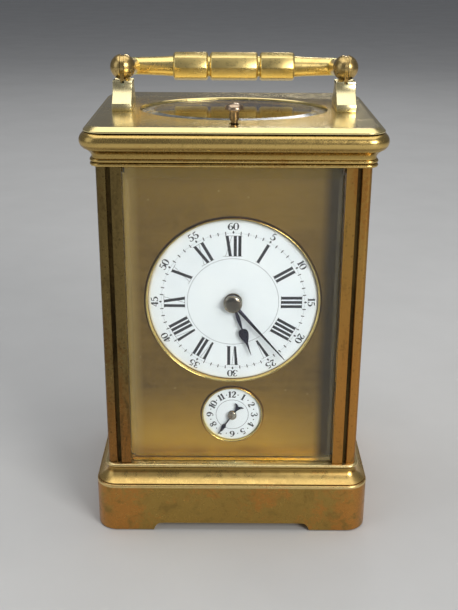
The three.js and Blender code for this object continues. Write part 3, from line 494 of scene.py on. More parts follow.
def steel(name, tone, shine=(0.16, 0.34), stain=(0.2, 0.14, 0.09), seed=0.0):
    g = Graph(name)
    cloud = g.noise(1.6, detail=5, roughness=0.6, seed=seed)
    line = g.noise(0.12, detail=2, stretch=(0.1, 1, 1), seed=seed)
    color = g.blend(g.window(cloud, 0.45, 0.72), tone, stain)
    # Painted shade: the colour darkens within corners.
    color = g.blend(g.window(g.crevice(0.8), 0.35, 0.9, 0.7, 0), color, (0.02, 0.016, 0.012))
    return g.surface(color, g.window(cloud, 0.35, 0.7, *shine), 1.0, g.bump(line, 0.08, 0.01))


def glass():
    """Clear old plate glass, faintly green, which lets lamp light through to the dial."""
    g = Graph("clear_glass")
    smear = g.noise(11, detail=4, roughness=0.6, distortion=1.2)
    clear = g.clear_shader((0.965, 0.985, 0.975), g.window(smear, 0.45, 0.8, 0.0, 0.05))
    open_air = g.node("ShaderNodeBsdfTransparent")
    g.put((0.95, 0.97, 0.96), open_air.inputs["Color"])
    return g.mixed(g.node("ShaderNodeLightPath").outputs["Is Shadow Ray"], clear, open_air)


def ground_glass(name, least, most, tone):
    """A bevel: clear glass mixed, `least` to `most` of it in cloudy patches, with an opaque `tone` that
    paints the light the bevel catches.
    """
    g = Graph(name)
    # Noise that spreads the painted light in patches.
    wear = g.noise(3, detail=5, roughness=0.6, distortion=0.8, seed=2)
    clear = g.clear_shader((0.95, 0.98, 0.97), 0.12)
    pale = g.node("ShaderNodeBsdfPrincipled")
    g.put(tone, pale.inputs["Base Color"])
    pale.inputs["Roughness"].default_value = 0.3
    return g.mixed(g.window(wear, 0.35, 0.7, least, most), clear, pale)


def pale_floor():
    """A matt pale floor with a faint mottle."""
    g = Graph("pale_floor")
    cloud = g.noise(60, detail=3)
    return g.surface(g.blend(g.window(cloud, 0.3, 0.7), (0.64, 0.64, 0.63), (0.6, 0.6, 0.59)),
                     g.window(cloud, 0.3, 0.7, 0.6, 0.7), 0.0)


def clock_materials():
    """Every material by name."""
    return {
        "base": brass("base_brass", (0.42, 0.268, 0.07), (0.54, 0.25, 0.06), (0.29, 0.19, 0.054),
                      warmth=0.45, dirt=0.5, shine=(0.24, 0.38), seed=1.0, ends=0.32, relief=0.08,
                      # Painted highlights on the rounded edge, the lower shoulder and the bed bead; painted
                      # shade on the steep upper shoulder.
                      bands=((0.0168, 0.0177, (0.95, 0.74, 0.33)), (0.018, 0.0208, (0.9, 0.63, 0.22)),
                             (0.021, 0.0229, (0.42, 0.27, 0.075)), (0.023, 0.0256, (1.0, 0.82, 0.4)))),
        "cornice": brass("cornice_brass", (0.66, 0.46, 0.155), (0.56, 0.32, 0.09), (0.4, 0.29, 0.09),
                         warmth=0.2, dirt=0.3, shine=(0.2, 0.3), seed=3.0, speckle=0.12, relief=0.08,
                         # Painted shade on the cove and on the lower part of the ovolo.
                         bands=((0.1284, 0.1312, (0.4, 0.27, 0.08)), (0.1313, 0.1322, (0.3, 0.19, 0.055)))),
        # The left pillars' copy is darker and greener: painted shade for the side away from the key light.
        "pillar_shaded": brass("pillar_brass_shaded", (0.2, 0.14, 0.05), (0.18, 0.09, 0.027),
                             (0.085, 0.06, 0.024), warmth=0.4, dirt=0.6, shine=(0.22, 0.4), seed=5.0,
                             pits=0.4, grain="Z", foot=(0.06, 0.03, (0.34, 0.15, 0.038))),
        "pillar_warm": brass("pillar_brass_warm", (0.39, 0.22, 0.055), (0.35, 0.155, 0.034),
                             (0.17, 0.115, 0.035), warmth=0.7, dirt=0.4, shine=(0.26, 0.42), seed=8.0,
                             pits=0.3, grain="Z", foot=(0.1, 0.05, (0.5, 0.225, 0.05))),
        # Near-black brass for the pillars' groove floors: grime and painted shade.
        "groove": brass("groove_grime_and_shade", (0.09, 0.06, 0.02), (0.07, 0.04, 0.014), (0.04, 0.028, 0.012),
                        warmth=0.4, dirt=0.6, shine=(0.4, 0.6), seed=33.0, grain="Z"),
        "ball": brass("worn_brown_brass", (0.7, 0.5, 0.2), (0.5, 0.3, 0.1), (0.3, 0.2, 0.07),
                      warmth=0.5, dirt=0.5, shine=(0.2, 0.34), seed=31.0),
        "door": brass("door_brass", (0.62, 0.41, 0.12), (0.47, 0.235, 0.06), (0.27, 0.185, 0.055),
                      warmth=0.3, dirt=0.4, shine=(0.2, 0.36), seed=12.0, pits=0.2),
        "plate": brass("plate_brass", (0.8, 0.66, 0.35), (0.7, 0.54, 0.26), (0.6, 0.5, 0.26), warmth=0.2,
                       dirt=0.3, shine=(0.16, 0.26), seed=14.0, grime_and_shade=0.3, speckle=0.1, relief=0.04,
                       # Painted highlight on the plate's bevel.
                       bands=((0.1363, 0.13755, (1.0, 0.8, 0.34)),)),
        "handle": brass("handle_brass", (0.96, 0.74, 0.29), (0.9, 0.6, 0.2), (0.7, 0.5, 0.17),
                        warmth=0.15, dirt=0.15, shine=(0.24, 0.34), seed=17.0, speckle=0.12, relief=0.08),
        "post": brass("post_brass", (0.95, 0.82, 0.46), (0.86, 0.64, 0.28), (0.68, 0.52, 0.2),
                      warmth=0.1, dirt=0.1, shine=(0.22, 0.32), seed=27.0, grime_and_shade=0.5, speckle=0.1,
                      relief=0.05),
        "bezel": brass("bezel_brass", (0.85, 0.6, 0.2), (0.75, 0.42, 0.12), (0.5, 0.36, 0.13),
                       warmth=0.2, dirt=0.15, shine=(0.08, 0.18), seed=19.0),
        "movement": brass("movement_brass", (0.72, 0.5, 0.18), (0.6, 0.38, 0.12), (0.45, 0.33, 0.12),
                          warmth=0.15, dirt=0.2, shine=(0.22, 0.36), seed=21.0, grain="Z", grime_and_shade=0.5),
        "wheel": brass("wheel_brass", (0.78, 0.56, 0.2), (0.66, 0.42, 0.13), (0.5, 0.36, 0.13),
                       warmth=0.12, dirt=0.15, shine=(0.12, 0.25), seed=23.0, grime_and_shade=0.5),
        "platform": brass("platform_gilding", (0.80, 0.6, 0.25), (0.7, 0.48, 0.18), (0.55, 0.4, 0.15),
                          warmth=0.1, dirt=0.1, shine=(0.3, 0.42), seed=29.0, grime_and_shade=0.4),
        "mask": gilt_mask(),
        "enamel": enamel(),
        "ink": ink("black_enamel", (0.01, 0.011, 0.018)),
        "hair_ink": ink("grey_enamel", (0.16, 0.17, 0.2)),
        "blued": steel("blued_steel", (0.018, 0.022, 0.05), (0.2, 0.35), (0.03, 0.02, 0.03)),
        "steel": steel("polished_steel", (0.42, 0.39, 0.35)),
        "hub": steel("hub_steel", (0.40, 0.37, 0.31), (0.14, 0.3), (0.2, 0.12, 0.06), seed=6),
        "button": steel("button_steel", (0.55, 0.42, 0.3), (0.18, 0.34), (0.35, 0.22, 0.12), seed=3),
        "glass": glass(),
        "floor": pale_floor(),
        # The oval glass's bevel gets a pale painted highlight; the panes' bevels get a golden painted
        # reflection of the brass.
        "ground_glass": ground_glass("ground_glass", 0.06, 0.34, (0.8, 0.79, 0.68)),
        "pane_bevel_painted_reflection": ground_glass("pane_bevel_painted_reflection", 0.03, 0.12, (0.5, 0.43, 0.22)),
    }


PAINT = clock_materials()


# ------------------------------------------------------------------ base, cornice and top plate

CASE_CORNER = 7.0


def half_round(outset, low, high, steps=7):
    """A bead standing to `outset` between two heights, as profile points."""
    radius = (high - low) / 2
    return arc((outset - radius, low + radius), radius, -80, 80, steps)


def arch(half_side, reach):
    """The tool that cuts one pair of arches between the feet: half_side to the case's corner."""
    foot_length = 19.3
    rise = [(half_side - foot_length - inward, z) for inward, z in
            ((0, -1), (0, 0), (0.25, 0.75), (0.65, 1.7), (1.2, 2.5), (1.9, 2.95), (2.7, 3.1))]
    outline = rise + [(-x, z) for x, z in reversed(rise)]
    return facing(outline, -reach, reach)


def build_base():
    base = Box("base_plinth")
    half_width, half_depth, top = base.size[0] / 2, base.size[1] / 2, base.high[2]
    profile = [(-1.1, 0), (-0.45, 0.12), (-0.12, 0.45), (0, 1.0), (0, 16.8)]
    profile += arc((-0.55, 17.2), 0.6, 20, 100, 6)
    profile += [(-0.72, 17.75), (-0.72, 17.95), (-0.6, 18.1)]
    slope_top, slope_rise, slope_run = 22.35, 4.2, 3.33
    for t in [1 - step / 14 for step in range(15)]:
        profile.append((-3.95 + slope_run * t ** 1.9, slope_top - slope_rise * t))
    profile += [(-4.3, slope_top + 0.1), (-4.3, slope_top + 0.45)]
    profile += half_round(-3.05, slope_top + 0.5, top - 0.05, 9)
    profile += [(-3.6, top)]
    body = moulding(profile, half_width, half_depth, CASE_CORNER, per_corner=14)
    room = moulding([(0, -1), (0, 16)], 40.5, 32.5, 3, per_corner=6)
    across = turn(arch(half_depth, half_width + 2), 90, "Z")
    body = cut(body, room, arch(half_width, half_depth + 2), across)
    make_object("base_casting", smooth(body, 32), "base", "base_plinth")


def build_cornice():
    cornice = Box("cornice")
    low, top = cornice.low[2], cornice.high[2]
    half_width, half_depth = cornice.size[0] / 2, cornice.size[1] / 2
    profile = [(-4.3, low), (-4.0, low + 0.1)]
    profile += half_round(-3.0, low + 0.1, low + 1.25, 7)
    profile += [(-3.75, low + 1.3)]
    profile += half_round(-3.0, low + 1.35, low + 2.5, 7)
    profile += [(-3.65, low + 2.55), (-3.65, low + 2.75)]
    cove = [(-3.65 + 1.9 * t ** 2.2, 2.75 + 2.45 * t) for t in (0.15, 0.3, 0.45, 0.6, 0.75, 0.88, 1)]
    ovolo = [(-2.4 + x, 7.75 + z * 2.6 / 2.4) for x, z in arc((0, 0), 2.4, -56, 84, 14)]
    profile += [(x, low + z) for x, z in cove + [(-1.75, 5.45), (-1.1, 5.5)] + ovolo]
    profile += [(-2.6, top)]
    body = moulding(profile, half_width, half_depth, CASE_CORNER, per_corner=14)
    room = cuboid((-33.9, -26.6, low - 1), (33.9, 26.6, low + 6.5))
    throat = prism(oval(29.05, 21.0, 72), low, top + 1)
    rebate = prism(oval(31.9, 23.55, 72), top - 2.0, top + 1)
    body = smooth(cut(body, room, throat, rebate, button_hole(24, low, top)), 32)
    make_object("cornice_moulding", body, "cornice", "cornice")


def oval(half_width, half_depth, count):
    return [(half_width * x, half_depth * y) for x, y in circle(1, count)]


def button_hole(count, low, top):
    """The tool that drills the hole for the repeat button's stem."""
    radius = 1.7
    return shift(prism(circle(radius, count), low - 1, top + 1), 0, Box("repeat_button").mid[1])


def build_top_plate():
    plate = Box("top_plate")
    low, top = plate.low[2], plate.high[2]
    profile = [(-0.2, low), (-0.05, low + 0.1), (0, low + 0.35), (-0.1, low + 0.55), (-1.85, top - 0.12),
               (-2.05, top - 0.02), (-2.3, top)]
    body = moulding(profile, plate.size[0] / 2, plate.size[1] / 2, 6.3, per_corner=14)
    opening = loft([[(x, y, z) for x, y in oval(30.65 + flare, 22.6 + flare, 96)]
                    for flare, z in ((0, low - 1), (0, top - 0.25), (0.4, top + 0.2))])
    body = smooth(cut(body, opening, button_hole(32, low, top)), 20)
    make_object("polished_top_plate", body, "plate", "top_plate")


# ------------------------------------------------------------------ pillars

PILLAR = 8.2
BAND = 3.4
GROOVE = 1.3
GROOVE_DEPTH = 1.5


def pillar_plan(front_slot):
    """The plan from the pillar's inner corner, u across the front and v along the side.

    Two flat bands meet a squarish corner bead, which stands a little behind them in grooves.
    """
    far, near, slot = 7.55, 5.25, 1.5
    bead, floor, wall = PILLAR - 0.35, PILLAR - GROOVE_DEPTH, BAND + GROOVE
    half = [(0, PILLAR), (BAND - 0.15, PILLAR), (BAND, PILLAR - 0.15), (BAND, floor), (wall, floor),
            (wall, bead - 0.2), (wall + 0.2, bead)]
    half += arc((bead - 1.5, bead - 1.5), 1.5, 88, 46, 5)
    plan = half + [(v, u) for u, v in reversed(half[1:])]
    plan += [(PILLAR, 0.15), (PILLAR - 0.15, 0), (far, 0), (far, slot), (near, slot), (near, 0), (0, 0)]
    if front_slot:
        plan += [(0, near), (slot, near), (slot, far), (0, far)]
    return plan


def in_groove(across, along):
    """Whether a face with its middle there is a groove's floor, or one of the two hidden ends."""
    near, far = sorted((across, along))
    return near > BAND + 0.02 and (far < PILLAR - GROOVE_DEPTH - 0.2 or near < BAND + GROOVE - 0.02)


def build_pillars():
    for end_name, end in (("front", -1), ("back", 1)):
        for side_name, side in (("left", -1), ("right", 1)):
            node = f"pillar_{end_name}_{side_name}"
            pillar = Box(node)
            inner_x = min(abs(pillar.low[0]), abs(pillar.high[0]))
            inner_y = min(abs(pillar.low[1]), abs(pillar.high[1]))
            plan = [(side * (inner_x + u), end * (inner_y + v)) for u, v in pillar_plan(end < 0)]
            column = prism(plan, pillar.low[2], pillar.high[2])
            if side < 0 < end:
                knob = Box("door_knob")
                notch = cuboid((knob.low[0] - 0.8, 27.9, knob.mid[2] - 6), (-33, 30.1, knob.mid[2] + 6))
                column = cut(column, notch)
            # The left pillars take the darker copy of the brass: painted shade.
            tone = "pillar_shaded" if side < 0 else "pillar_warm"
            make_object(f"{node}_column", smooth(column, 24), tone, node)
            # The groove floors get the near-black brass: grime and painted shade.
            repaint(column, "groove", lambda polygon: in_groove(abs(polygon.center.x) / MM - inner_x,
                                                                abs(polygon.center.y) / MM - inner_y))


# ------------------------------------------------------------------ glasses

def bevelled_pane(width, height, thickness, edge=1, bevel=3.4):
    """A pane lying flat, bevelled on its upper face."""
    rings = []
    for inset, z in ((0, 0), (0, edge), (bevel, thickness)):
        w, h = width / 2 - inset, height / 2 - inset
        rings.append([(w, h, z), (-w, h, z), (-w, -h, z), (w, -h, z)])
    return loft(rings)


def grind_bevels(mesh, axis, paint):
    """Gives the glass with painted light to the faces that lean away from the pane's own axis."""
    repaint(mesh, paint, lambda polygon: 0.1 < abs(polygon.normal[axis]) < 0.999)


def build_glasses():
    pane = Box("front_glass")
    front = turn(bevelled_pane(pane.size[0], pane.size[2], pane.size[1]), 90, "X")
    make_object("front_glass_pane", shift(front, 0, pane.high[1], pane.mid[2]), "glass", "front_glass")
    grind_bevels(front, 1, "pane_bevel_painted_reflection")
    for node, side in (("left_glass", -1), ("right_glass", 1)):
        pane = Box(node)
        sheet = turn(bevelled_pane(pane.size[2], pane.size[1], pane.size[0]), side * 90, "Y")
        inner = pane.low[0] if side > 0 else pane.high[0]
        make_object(f"{node}_pane", shift(sheet, inner, 0, pane.mid[2]), "glass", node)
        grind_bevels(sheet, 0, "pane_bevel_painted_reflection")
    top = Box("oval_glass")
    low, high = top.low[2], top.high[2]
    steps = [(31.5, 23.25, low), (31.5, 23.25, high - 1.7), (30.4, 22.4, high - 1.65),
             (30.4, 22.4, high - 0.75), (26.2, 18.2, high)]
    sheet = smooth(loft([[(x, y, z) for x, y in oval(w, d, 96)] for w, d, z in steps]), 8)
    make_object("oval_top_glass", sheet, "glass", "oval_glass")
    grind_bevels(sheet, 2, "ground_glass")


# ------------------------------------------------------------------ handle

BALL_RADIUS = 4.1
SLOT = 1.5


def build_posts():
    for side in ("left", "right"):
        node = f"handle_post_{side}"
        post = Box(node)
        pin = Box(f"handle_pin_{side}")
        low = post.low[2]
        half_width, half_depth = 3.15, post.size[1] / 2
        neck, swell, sweep, rise = 3.3, half_depth - 3.7, 1.6, 5.6
        half = [(half_depth, low), (half_depth, low + 2.3), (half_depth - 0.2, low + 2.55)]
        half += [(neck + swell * (1 - t / 14) ** sweep, low + 2.65 + rise * t / 14) for t in range(15)]
        half += [(neck, low + 9.0), (neck - 0.15, low + 9.15), (2.6, low + 8.6)]
        foot = eased(turn(facing(mirrored(half), -half_width, half_width), 90, "Z"), 0.15, 2, 60)
        make_object(f"{node}_cast", shift(foot, post.mid[0]), "post", node)
        half_tongue = 0.6
        tongue = shift(lathe_x([(3.75, -half_tongue), (3.75, half_tongue)], 48), 0, 0, pin.mid[2])
        web = cuboid((-half_tongue, -3.3, low + 7.5), (half_tongue, 3.3, pin.mid[2]))
        tongue = smooth(merge(tongue, web), 30)
        make_object(f"{node}_tongue", shift(tongue, post.mid[0]), "ball", rides=node)
        head = lathe_x([(0.35, -3.9), (0.8, -3.75), (0.8, 3.75), (0.35, 3.9)], 24)
        make_object(f"{node}_pin", smooth(shift(head, pin.mid[0], 0, pin.mid[2])), "steel",
                    f"handle_pin_{side}")


def straight_arm(x, start, end, steps=12):
    """A round bar along +Y, waisted between its ends."""
    rings = []
    for t in [step / steps for step in range(steps + 1)]:
        radius = 2.15 + 0.6 * abs(2 * t - 0.8) ** 1.6
        rings.append([(x - across, start + (end - start) * t, up) for across, up in circle(radius, 24)])
    return loft(rings)


def grip(start, end, across_flats=9.2):
    """One eight-sided grip along X, with softened edges and rounded-in ends."""
    corner = across_flats / 2 / math.cos(math.pi / 8)
    rings = []
    nose = [(0, 1.0), (0, 0.75), (0.16, 0.42), (0.45, 0.14), (0.8, 0)]
    for x, inset in [(start + along, inset) for along, inset in nose] + \
            [(end - along, inset) for along, inset in reversed(nose)]:
        rings.append([(x, *polar(corner - inset, math.pi * (k + 0.5) / 4)) for k in range(8)])
    return eased(loft(rings), 0.14, 2, 30)


def build_bail():
    """The folding handle is made pointing along +Y and then let down to its stop."""
    pin = Box("handle_pin_left")
    pivot_x, pivot_z = 36.0, pin.mid[2]
    reach, droop = 33.2, 6.4
    parts = []
    for x in (-pivot_x, pivot_x):
        arm = smooth(straight_arm(x, 1, reach), 40)
        half_circle = arc((0, 0), BALL_RADIUS, -90, 90, 30)
        ball = lathe_x([(max(radius, 0.02), along) for radius, along in half_circle], 64)
        gap = lathe_x([(4.65, -SLOT / 2), (4.65, SLOT / 2)], 48)
        hole = lathe_x([(0.95, -6), (0.95, 6)], 24)
        fork = merge(shift(ball, x), arm)
        parts.append(smooth(cut(fork, shift(gap, x), shift(hole, x)), 40))
    inner, groove, outer = 8.5, 0.7, 12.3
    tip = [(0.6, 2.75), (1.9, 2.6), (2.7, 1.9), (3.0, 0.9), (3.05, -1.5), (3.35, -11), (3.6, -14)]
    half_rod = [(radius, pivot_x + along) for radius, along in tip]
    rod = lathe_x([(radius, -x) for radius, x in half_rod] + half_rod[::-1], 40)
    parts.append(smooth(shift(rod, 0, reach)))
    facets = [grip(-inner - groove - outer, -inner - groove), grip(-inner, inner),
              grip(inner + groove, inner + groove + outer)]
    parts.append(shift(turn(join_meshes(*facets), 22.5 + droop, "X"), 0, reach))
    whole = turn(join_meshes(*parts), -droop, "X")
    whole.materials.clear()
    make_object("handle", whole, "handle", "handle_bail")
    repaint(whole, "ball", lambda polygon: polygon.center.y < (BALL_RADIUS + 0.1) * MM)
    shift(whole, 0, 0, pivot_z)


def build_button():
    button = Box("repeat_button")
    plate = Box("top_plate").high[2]
    stem = [(1.1, button.low[2]), (1.1, plate + 1.0), (1.45, plate + 1.5), (1.45, plate + 3.7),
            (1.75, plate + 4.1), (2.45, plate + 4.35)]
    cap = [(2.78, plate + 4.45), (2.85, plate + 4.7), (2.8, plate + 4.98), (2.5, plate + 5.5),
           (2.0, plate + 5.92), (1.4, plate + 6.16), (0.7, plate + 6.28), (0.05, plate + 6.3)]
    make_object("repeat_button_turned", smooth(shift(lathe(stem + cap, 48), 0, button.mid[1]), 40),
                "button", "repeat_button")


# ------------------------------------------------------------------ rear door

def build_door():
    frame_box, pane = Box("rear_door_frame"), Box("rear_door_glass")
    (x0, y0, z0), (x1, y1, z1) = frame_box.low, frame_box.high
    rail, rebate_width, knob_x = 6.4, 1.5, -30.4
    outline = [(x0, y0), (x1, y0), (x1, y0 + 2.3), (x1 - 0.3, y1 - 0.5), (x1 - 1, y1), (x0 + 0.3, y1),
               (x0, y1 - 0.3)]
    leaf = prism(outline, z0, z1)
    half_width, half_height = x1 - rail, (z1 - z0) / 2 - rail
    mid = (z0 + z1) / 2
    window = loft([[(sx * (half_width + grow), y, mid + sz * (half_height + grow))
                    for sx, sz in ((-1, -1), (1, -1), (1, 1), (-1, 1))]
                   for y, grow in ((y0 - 1, 0), (y1 - 0.7, 0), (y1 + 0.3, 1.0))])
    side, height = half_width + rebate_width, half_height + rebate_width
    rebate = cuboid((-side, y0 - 1, mid - height), (side, y0 + 2.2, mid + height))
    knob = Box("door_knob")
    bore = shift(lathe_y([(1.25, y0 - 1), (1.25, y1 + 1)], 24), knob_x, 0, knob.mid[2])
    leaf = smooth(cut(leaf, window, rebate, bore), 30)
    make_object("rear_door_leaf", leaf, "door", "rear_door_frame")
    sheet = turn(bevelled_pane(pane.size[0], pane.size[2], pane.size[1]), -90, "X")
    sheet = shift(sheet, 0, pane.low[1], pane.mid[2])
    make_object("rear_door_pane", sheet, "glass", "rear_door_glass")
    grind_bevels(sheet, 1, "pane_bevel_painted_reflection")
    for level in ("lower", "upper"):
        pin = Box(f"door_pin_{level}")
        turned = lathe([(0.45, pin.low[2]), (0.7, pin.low[2] + 0.25), (0.7, pin.high[2] - 0.25),
                        (0.45, pin.high[2])], 20)
        make_object(f"door_pivot_{level}", smooth(shift(turned, pin.mid[0], pin.mid[1])), "steel",
                    f"door_pin_{level}")
    back = knob.high[1]
    shank = [(1.1, y0 - 1.8), (1.1, y1 + 0.3), (1.3, y1 + 0.5), (1.9, y1 + 0.75)]
    head = [(2.3, y1 + 1.2), (2.4, y1 + 1.7), (2.4, y1 + 2.5), (2.25, y1 + 3.0), (1.8, back - 0.3),
            (1.0, back - 0.08), (0.05, back)]
    turned = smooth(lathe_y(shank + head, 40), 40)
    finger = eased(cuboid((-5, 28.2, -1.5), (1.5, 29.8, 1.5)), 0.25)
    latch = shift(join_meshes(turned, finger), knob_x, 0, mid)
    make_object("door_latch", latch, "handle", "door_knob")


# ------------------------------------------------------------------ dials

# Each digit is a set of pen strokes of (across, up, pen width) in a box one unit high; the pen swells
# and thins as an engraver's would.
STROKES = {
    "0": [[(0.3, 0.97, 0.06), (0.12, 0.84, 0.12), (0.06, 0.5, 0.19), (0.12, 0.16, 0.12), (0.3, 0.03, 0.06),
           (0.48, 0.16, 0.12), (0.54, 0.5, 0.19), (0.48, 0.84, 0.12), (0.3, 0.97, 0.06)]],
    "1": [[(0.3, 0.0, 0.19), (0.3, 0.97, 0.19)], [(0.1, 0.78, 0.05), (0.28, 0.93, 0.09)],
          [(0.1, 0.03, 0.06), (0.5, 0.03, 0.06)]],
    "2": [[(0.09, 0.7, 0.13), (0.15, 0.88, 0.09), (0.3, 0.96, 0.07), (0.46, 0.86, 0.15), (0.49, 0.7, 0.19),
           (0.38, 0.48, 0.14), (0.2, 0.26, 0.08), (0.08, 0.08, 0.07)],
          [(0.07, 0.06, 0.1), (0.28, 0.09, 0.16), (0.46, 0.05, 0.12), (0.54, 0.22, 0.05)]],
    "3": [[(0.1, 0.77, 0.12), (0.18, 0.92, 0.08), (0.32, 0.96, 0.07), (0.46, 0.84, 0.14), (0.42, 0.64, 0.13),
           (0.24, 0.54, 0.06)],
          [(0.24, 0.54, 0.06), (0.45, 0.46, 0.12), (0.52, 0.27, 0.19), (0.42, 0.08, 0.12), (0.25, 0.03, 0.07),
           (0.1, 0.12, 0.09), (0.09, 0.24, 0.12)]],
    "4": [[(0.37, 0.96, 0.07), (0.05, 0.3, 0.07)], [(0.03, 0.28, 0.08), (0.57, 0.28, 0.08)],
          [(0.42, 0.96, 0.18), (0.42, 0.0, 0.18)], [(0.28, 0.03, 0.06), (0.56, 0.03, 0.06)]],
    "5": [[(0.17, 0.94, 0.07), (0.13, 0.52, 0.07)],
          [(0.15, 0.9, 0.12), (0.34, 0.91, 0.13), (0.5, 0.98, 0.05)],
          [(0.13, 0.52, 0.06), (0.28, 0.61, 0.08), (0.46, 0.5, 0.14), (0.52, 0.31, 0.19), (0.43, 0.1, 0.12),
           (0.25, 0.03, 0.07), (0.1, 0.1, 0.09), (0.09, 0.22, 0.12)]],
    "6": [[(0.47, 0.84, 0.13), (0.4, 0.95, 0.07), (0.24, 0.88, 0.08), (0.1, 0.6, 0.17), (0.08, 0.34, 0.19),
           (0.16, 0.1, 0.12), (0.31, 0.03, 0.07), (0.48, 0.14, 0.13), (0.52, 0.31, 0.18), (0.45, 0.5, 0.12),
           (0.3, 0.57, 0.06), (0.14, 0.46, 0.06)]],
    "7": [[(0.08, 0.78, 0.05), (0.13, 0.93, 0.11), (0.3, 0.9, 0.15), (0.53, 0.95, 0.06)],
          [(0.53, 0.95, 0.06), (0.38, 0.6, 0.1), (0.28, 0.28, 0.17), (0.26, 0.0, 0.19)]],
    "8": [[(0.3, 0.97, 0.06), (0.15, 0.87, 0.13), (0.15, 0.68, 0.13), (0.3, 0.54, 0.12), (0.5, 0.38, 0.15),
           (0.5, 0.13, 0.13), (0.3, 0.03, 0.06), (0.1, 0.13, 0.13), (0.1, 0.38, 0.13), (0.3, 0.54, 0.08),
           (0.45, 0.68, 0.12), (0.45, 0.87, 0.12), (0.3, 0.97, 0.06)]],
}
STROKES["9"] = [[(0.6 - x, 1 - z, w) for x, z, w in STROKES["6"][0]]]


def curved(points, steps=5):
    """A smooth line (Catmull-Rom) through the points, every coordinate interpolated."""
    if len(points) == 2:
        return points
    line = []
    for i in range(len(points) - 1):
        four = (points[max(i - 1, 0)], points[i], points[i + 1], points[min(i + 2, len(points) - 1)])
        for k in range(steps):
            t = k / steps
            line.append(tuple(0.5 * (2 * q + (r - p) * t + (2 * p - 5 * q + 4 * r - s) * t * t +
                                     (3 * q - p - 3 * r + s) * t ** 3) for p, q, r, s in zip(*four)))
    return line + [points[-1]]


def ribbon(line):
    """Quads of (x, z) along a line of (x, z, width)."""
    sides = []
    for i, (x, z, width) in enumerate(line):
        before, after = line[max(i - 1, 0)], line[min(i + 1, len(line) - 1)]
        run = math.hypot(after[0] - before[0], after[1] - before[1]) or 1
        nx, nz = -(after[1] - before[1]) / run * width / 2, (after[0] - before[0]) / run * width / 2
        sides.append(((x + nx, z + nz), (x - nx, z - nz)))
    return [(a[0], a[1], b[1], b[0]) for a, b in zip(sides, sides[1:])]


def arabic(text, height, width, weight=1.0):
    """Quads of a number centred on the origin, its pen strokes widened by `weight`."""
    advance = [0.4 if c == "1" else 0.62 for c in text]
    quads = []
    x = -sum(advance) / 2
    for c, step in zip(text, advance):
        for points in STROKES[c]:
            for quad in ribbon([(px, pz, pen * weight) for px, pz, pen in curved(points)]):
                quads.append([((x + px - (0.1 if c == "1" else 0)) * width, (pz - 0.5) * height)
                              for px, pz in quad])
        x += step
    return quads


def bar(middle, width, low, high):
    left, right = middle - width / 2, middle + width / 2
    return [(left, low), (right, low), (right, high), (left, high)]


def roman(text, inner, outer, thick, hair):
    """Quads of a Roman numeral standing on a circle of radius `inner`, its middle on the Z axis."""
    spans = {"I": 1.47 * thick, "V": 2.6 * thick, "X": 2.7 * thick}
    x = -sum(spans[c] for c in text) / 2
    quads = []
    for c in text:
        span = spans[c]
        left, right, mid = x + 0.3 * thick, x + span - 0.3 * thick, x + span / 2
        if c == "I":
            quads.append(bar(mid, thick, inner, outer))
            feet, heads = [mid], [mid]
        elif c == "V":
            quads.append([(mid - 0.38 * thick, inner), (mid + 0.32 * thick, inner), (left + thick, outer),
                          (left, outer)])
            quads.append([(mid + 0.12 * thick, inner), (mid + 0.12 * thick + hair, inner), (right, outer),
                          (right - hair, outer)])
            feet, heads = [], [left + thick / 2, right]
        else:
            quads.append([(right - thick, inner), (right, inner), (left + thick, outer), (left, outer)])
            quads.append([(left, inner), (left + hair, inner), (right, outer), (right - hair, outer)])
            feet, heads = [left, right - thick / 2], [left + thick / 2, right]
        for places, z in ((feet, inner), (heads, outer)):
            for place in places:
                quads.append(bar(place, 1.6 * thick, z - hair / 2, z + hair / 2))
        x += span
    return quads


def round_spot(z, radius, count=10):
    return [[(x, z + up) for x, up in circle(radius, count)]]


def thin_ring(radius, width, count=120):
    inner, outer = circle(radius - width / 2, count), circle(radius + width / 2, count)
    return [[inner[k - 1], outer[k - 1], outer[k], inner[k]] for k in range(count)]


def raised(quads, height):
    return [[(x, z + height) for x, z in quad] for quad in quads]


def round_dial(quads, degrees):
    """Quads drawn at twelve o'clock, carried clockwise."""
    c, s = math.cos(math.radians(degrees)), math.sin(math.radians(degrees))
    return [[(x * c + z * s, z * c - x * s) for x, z in quad] for quad in quads]


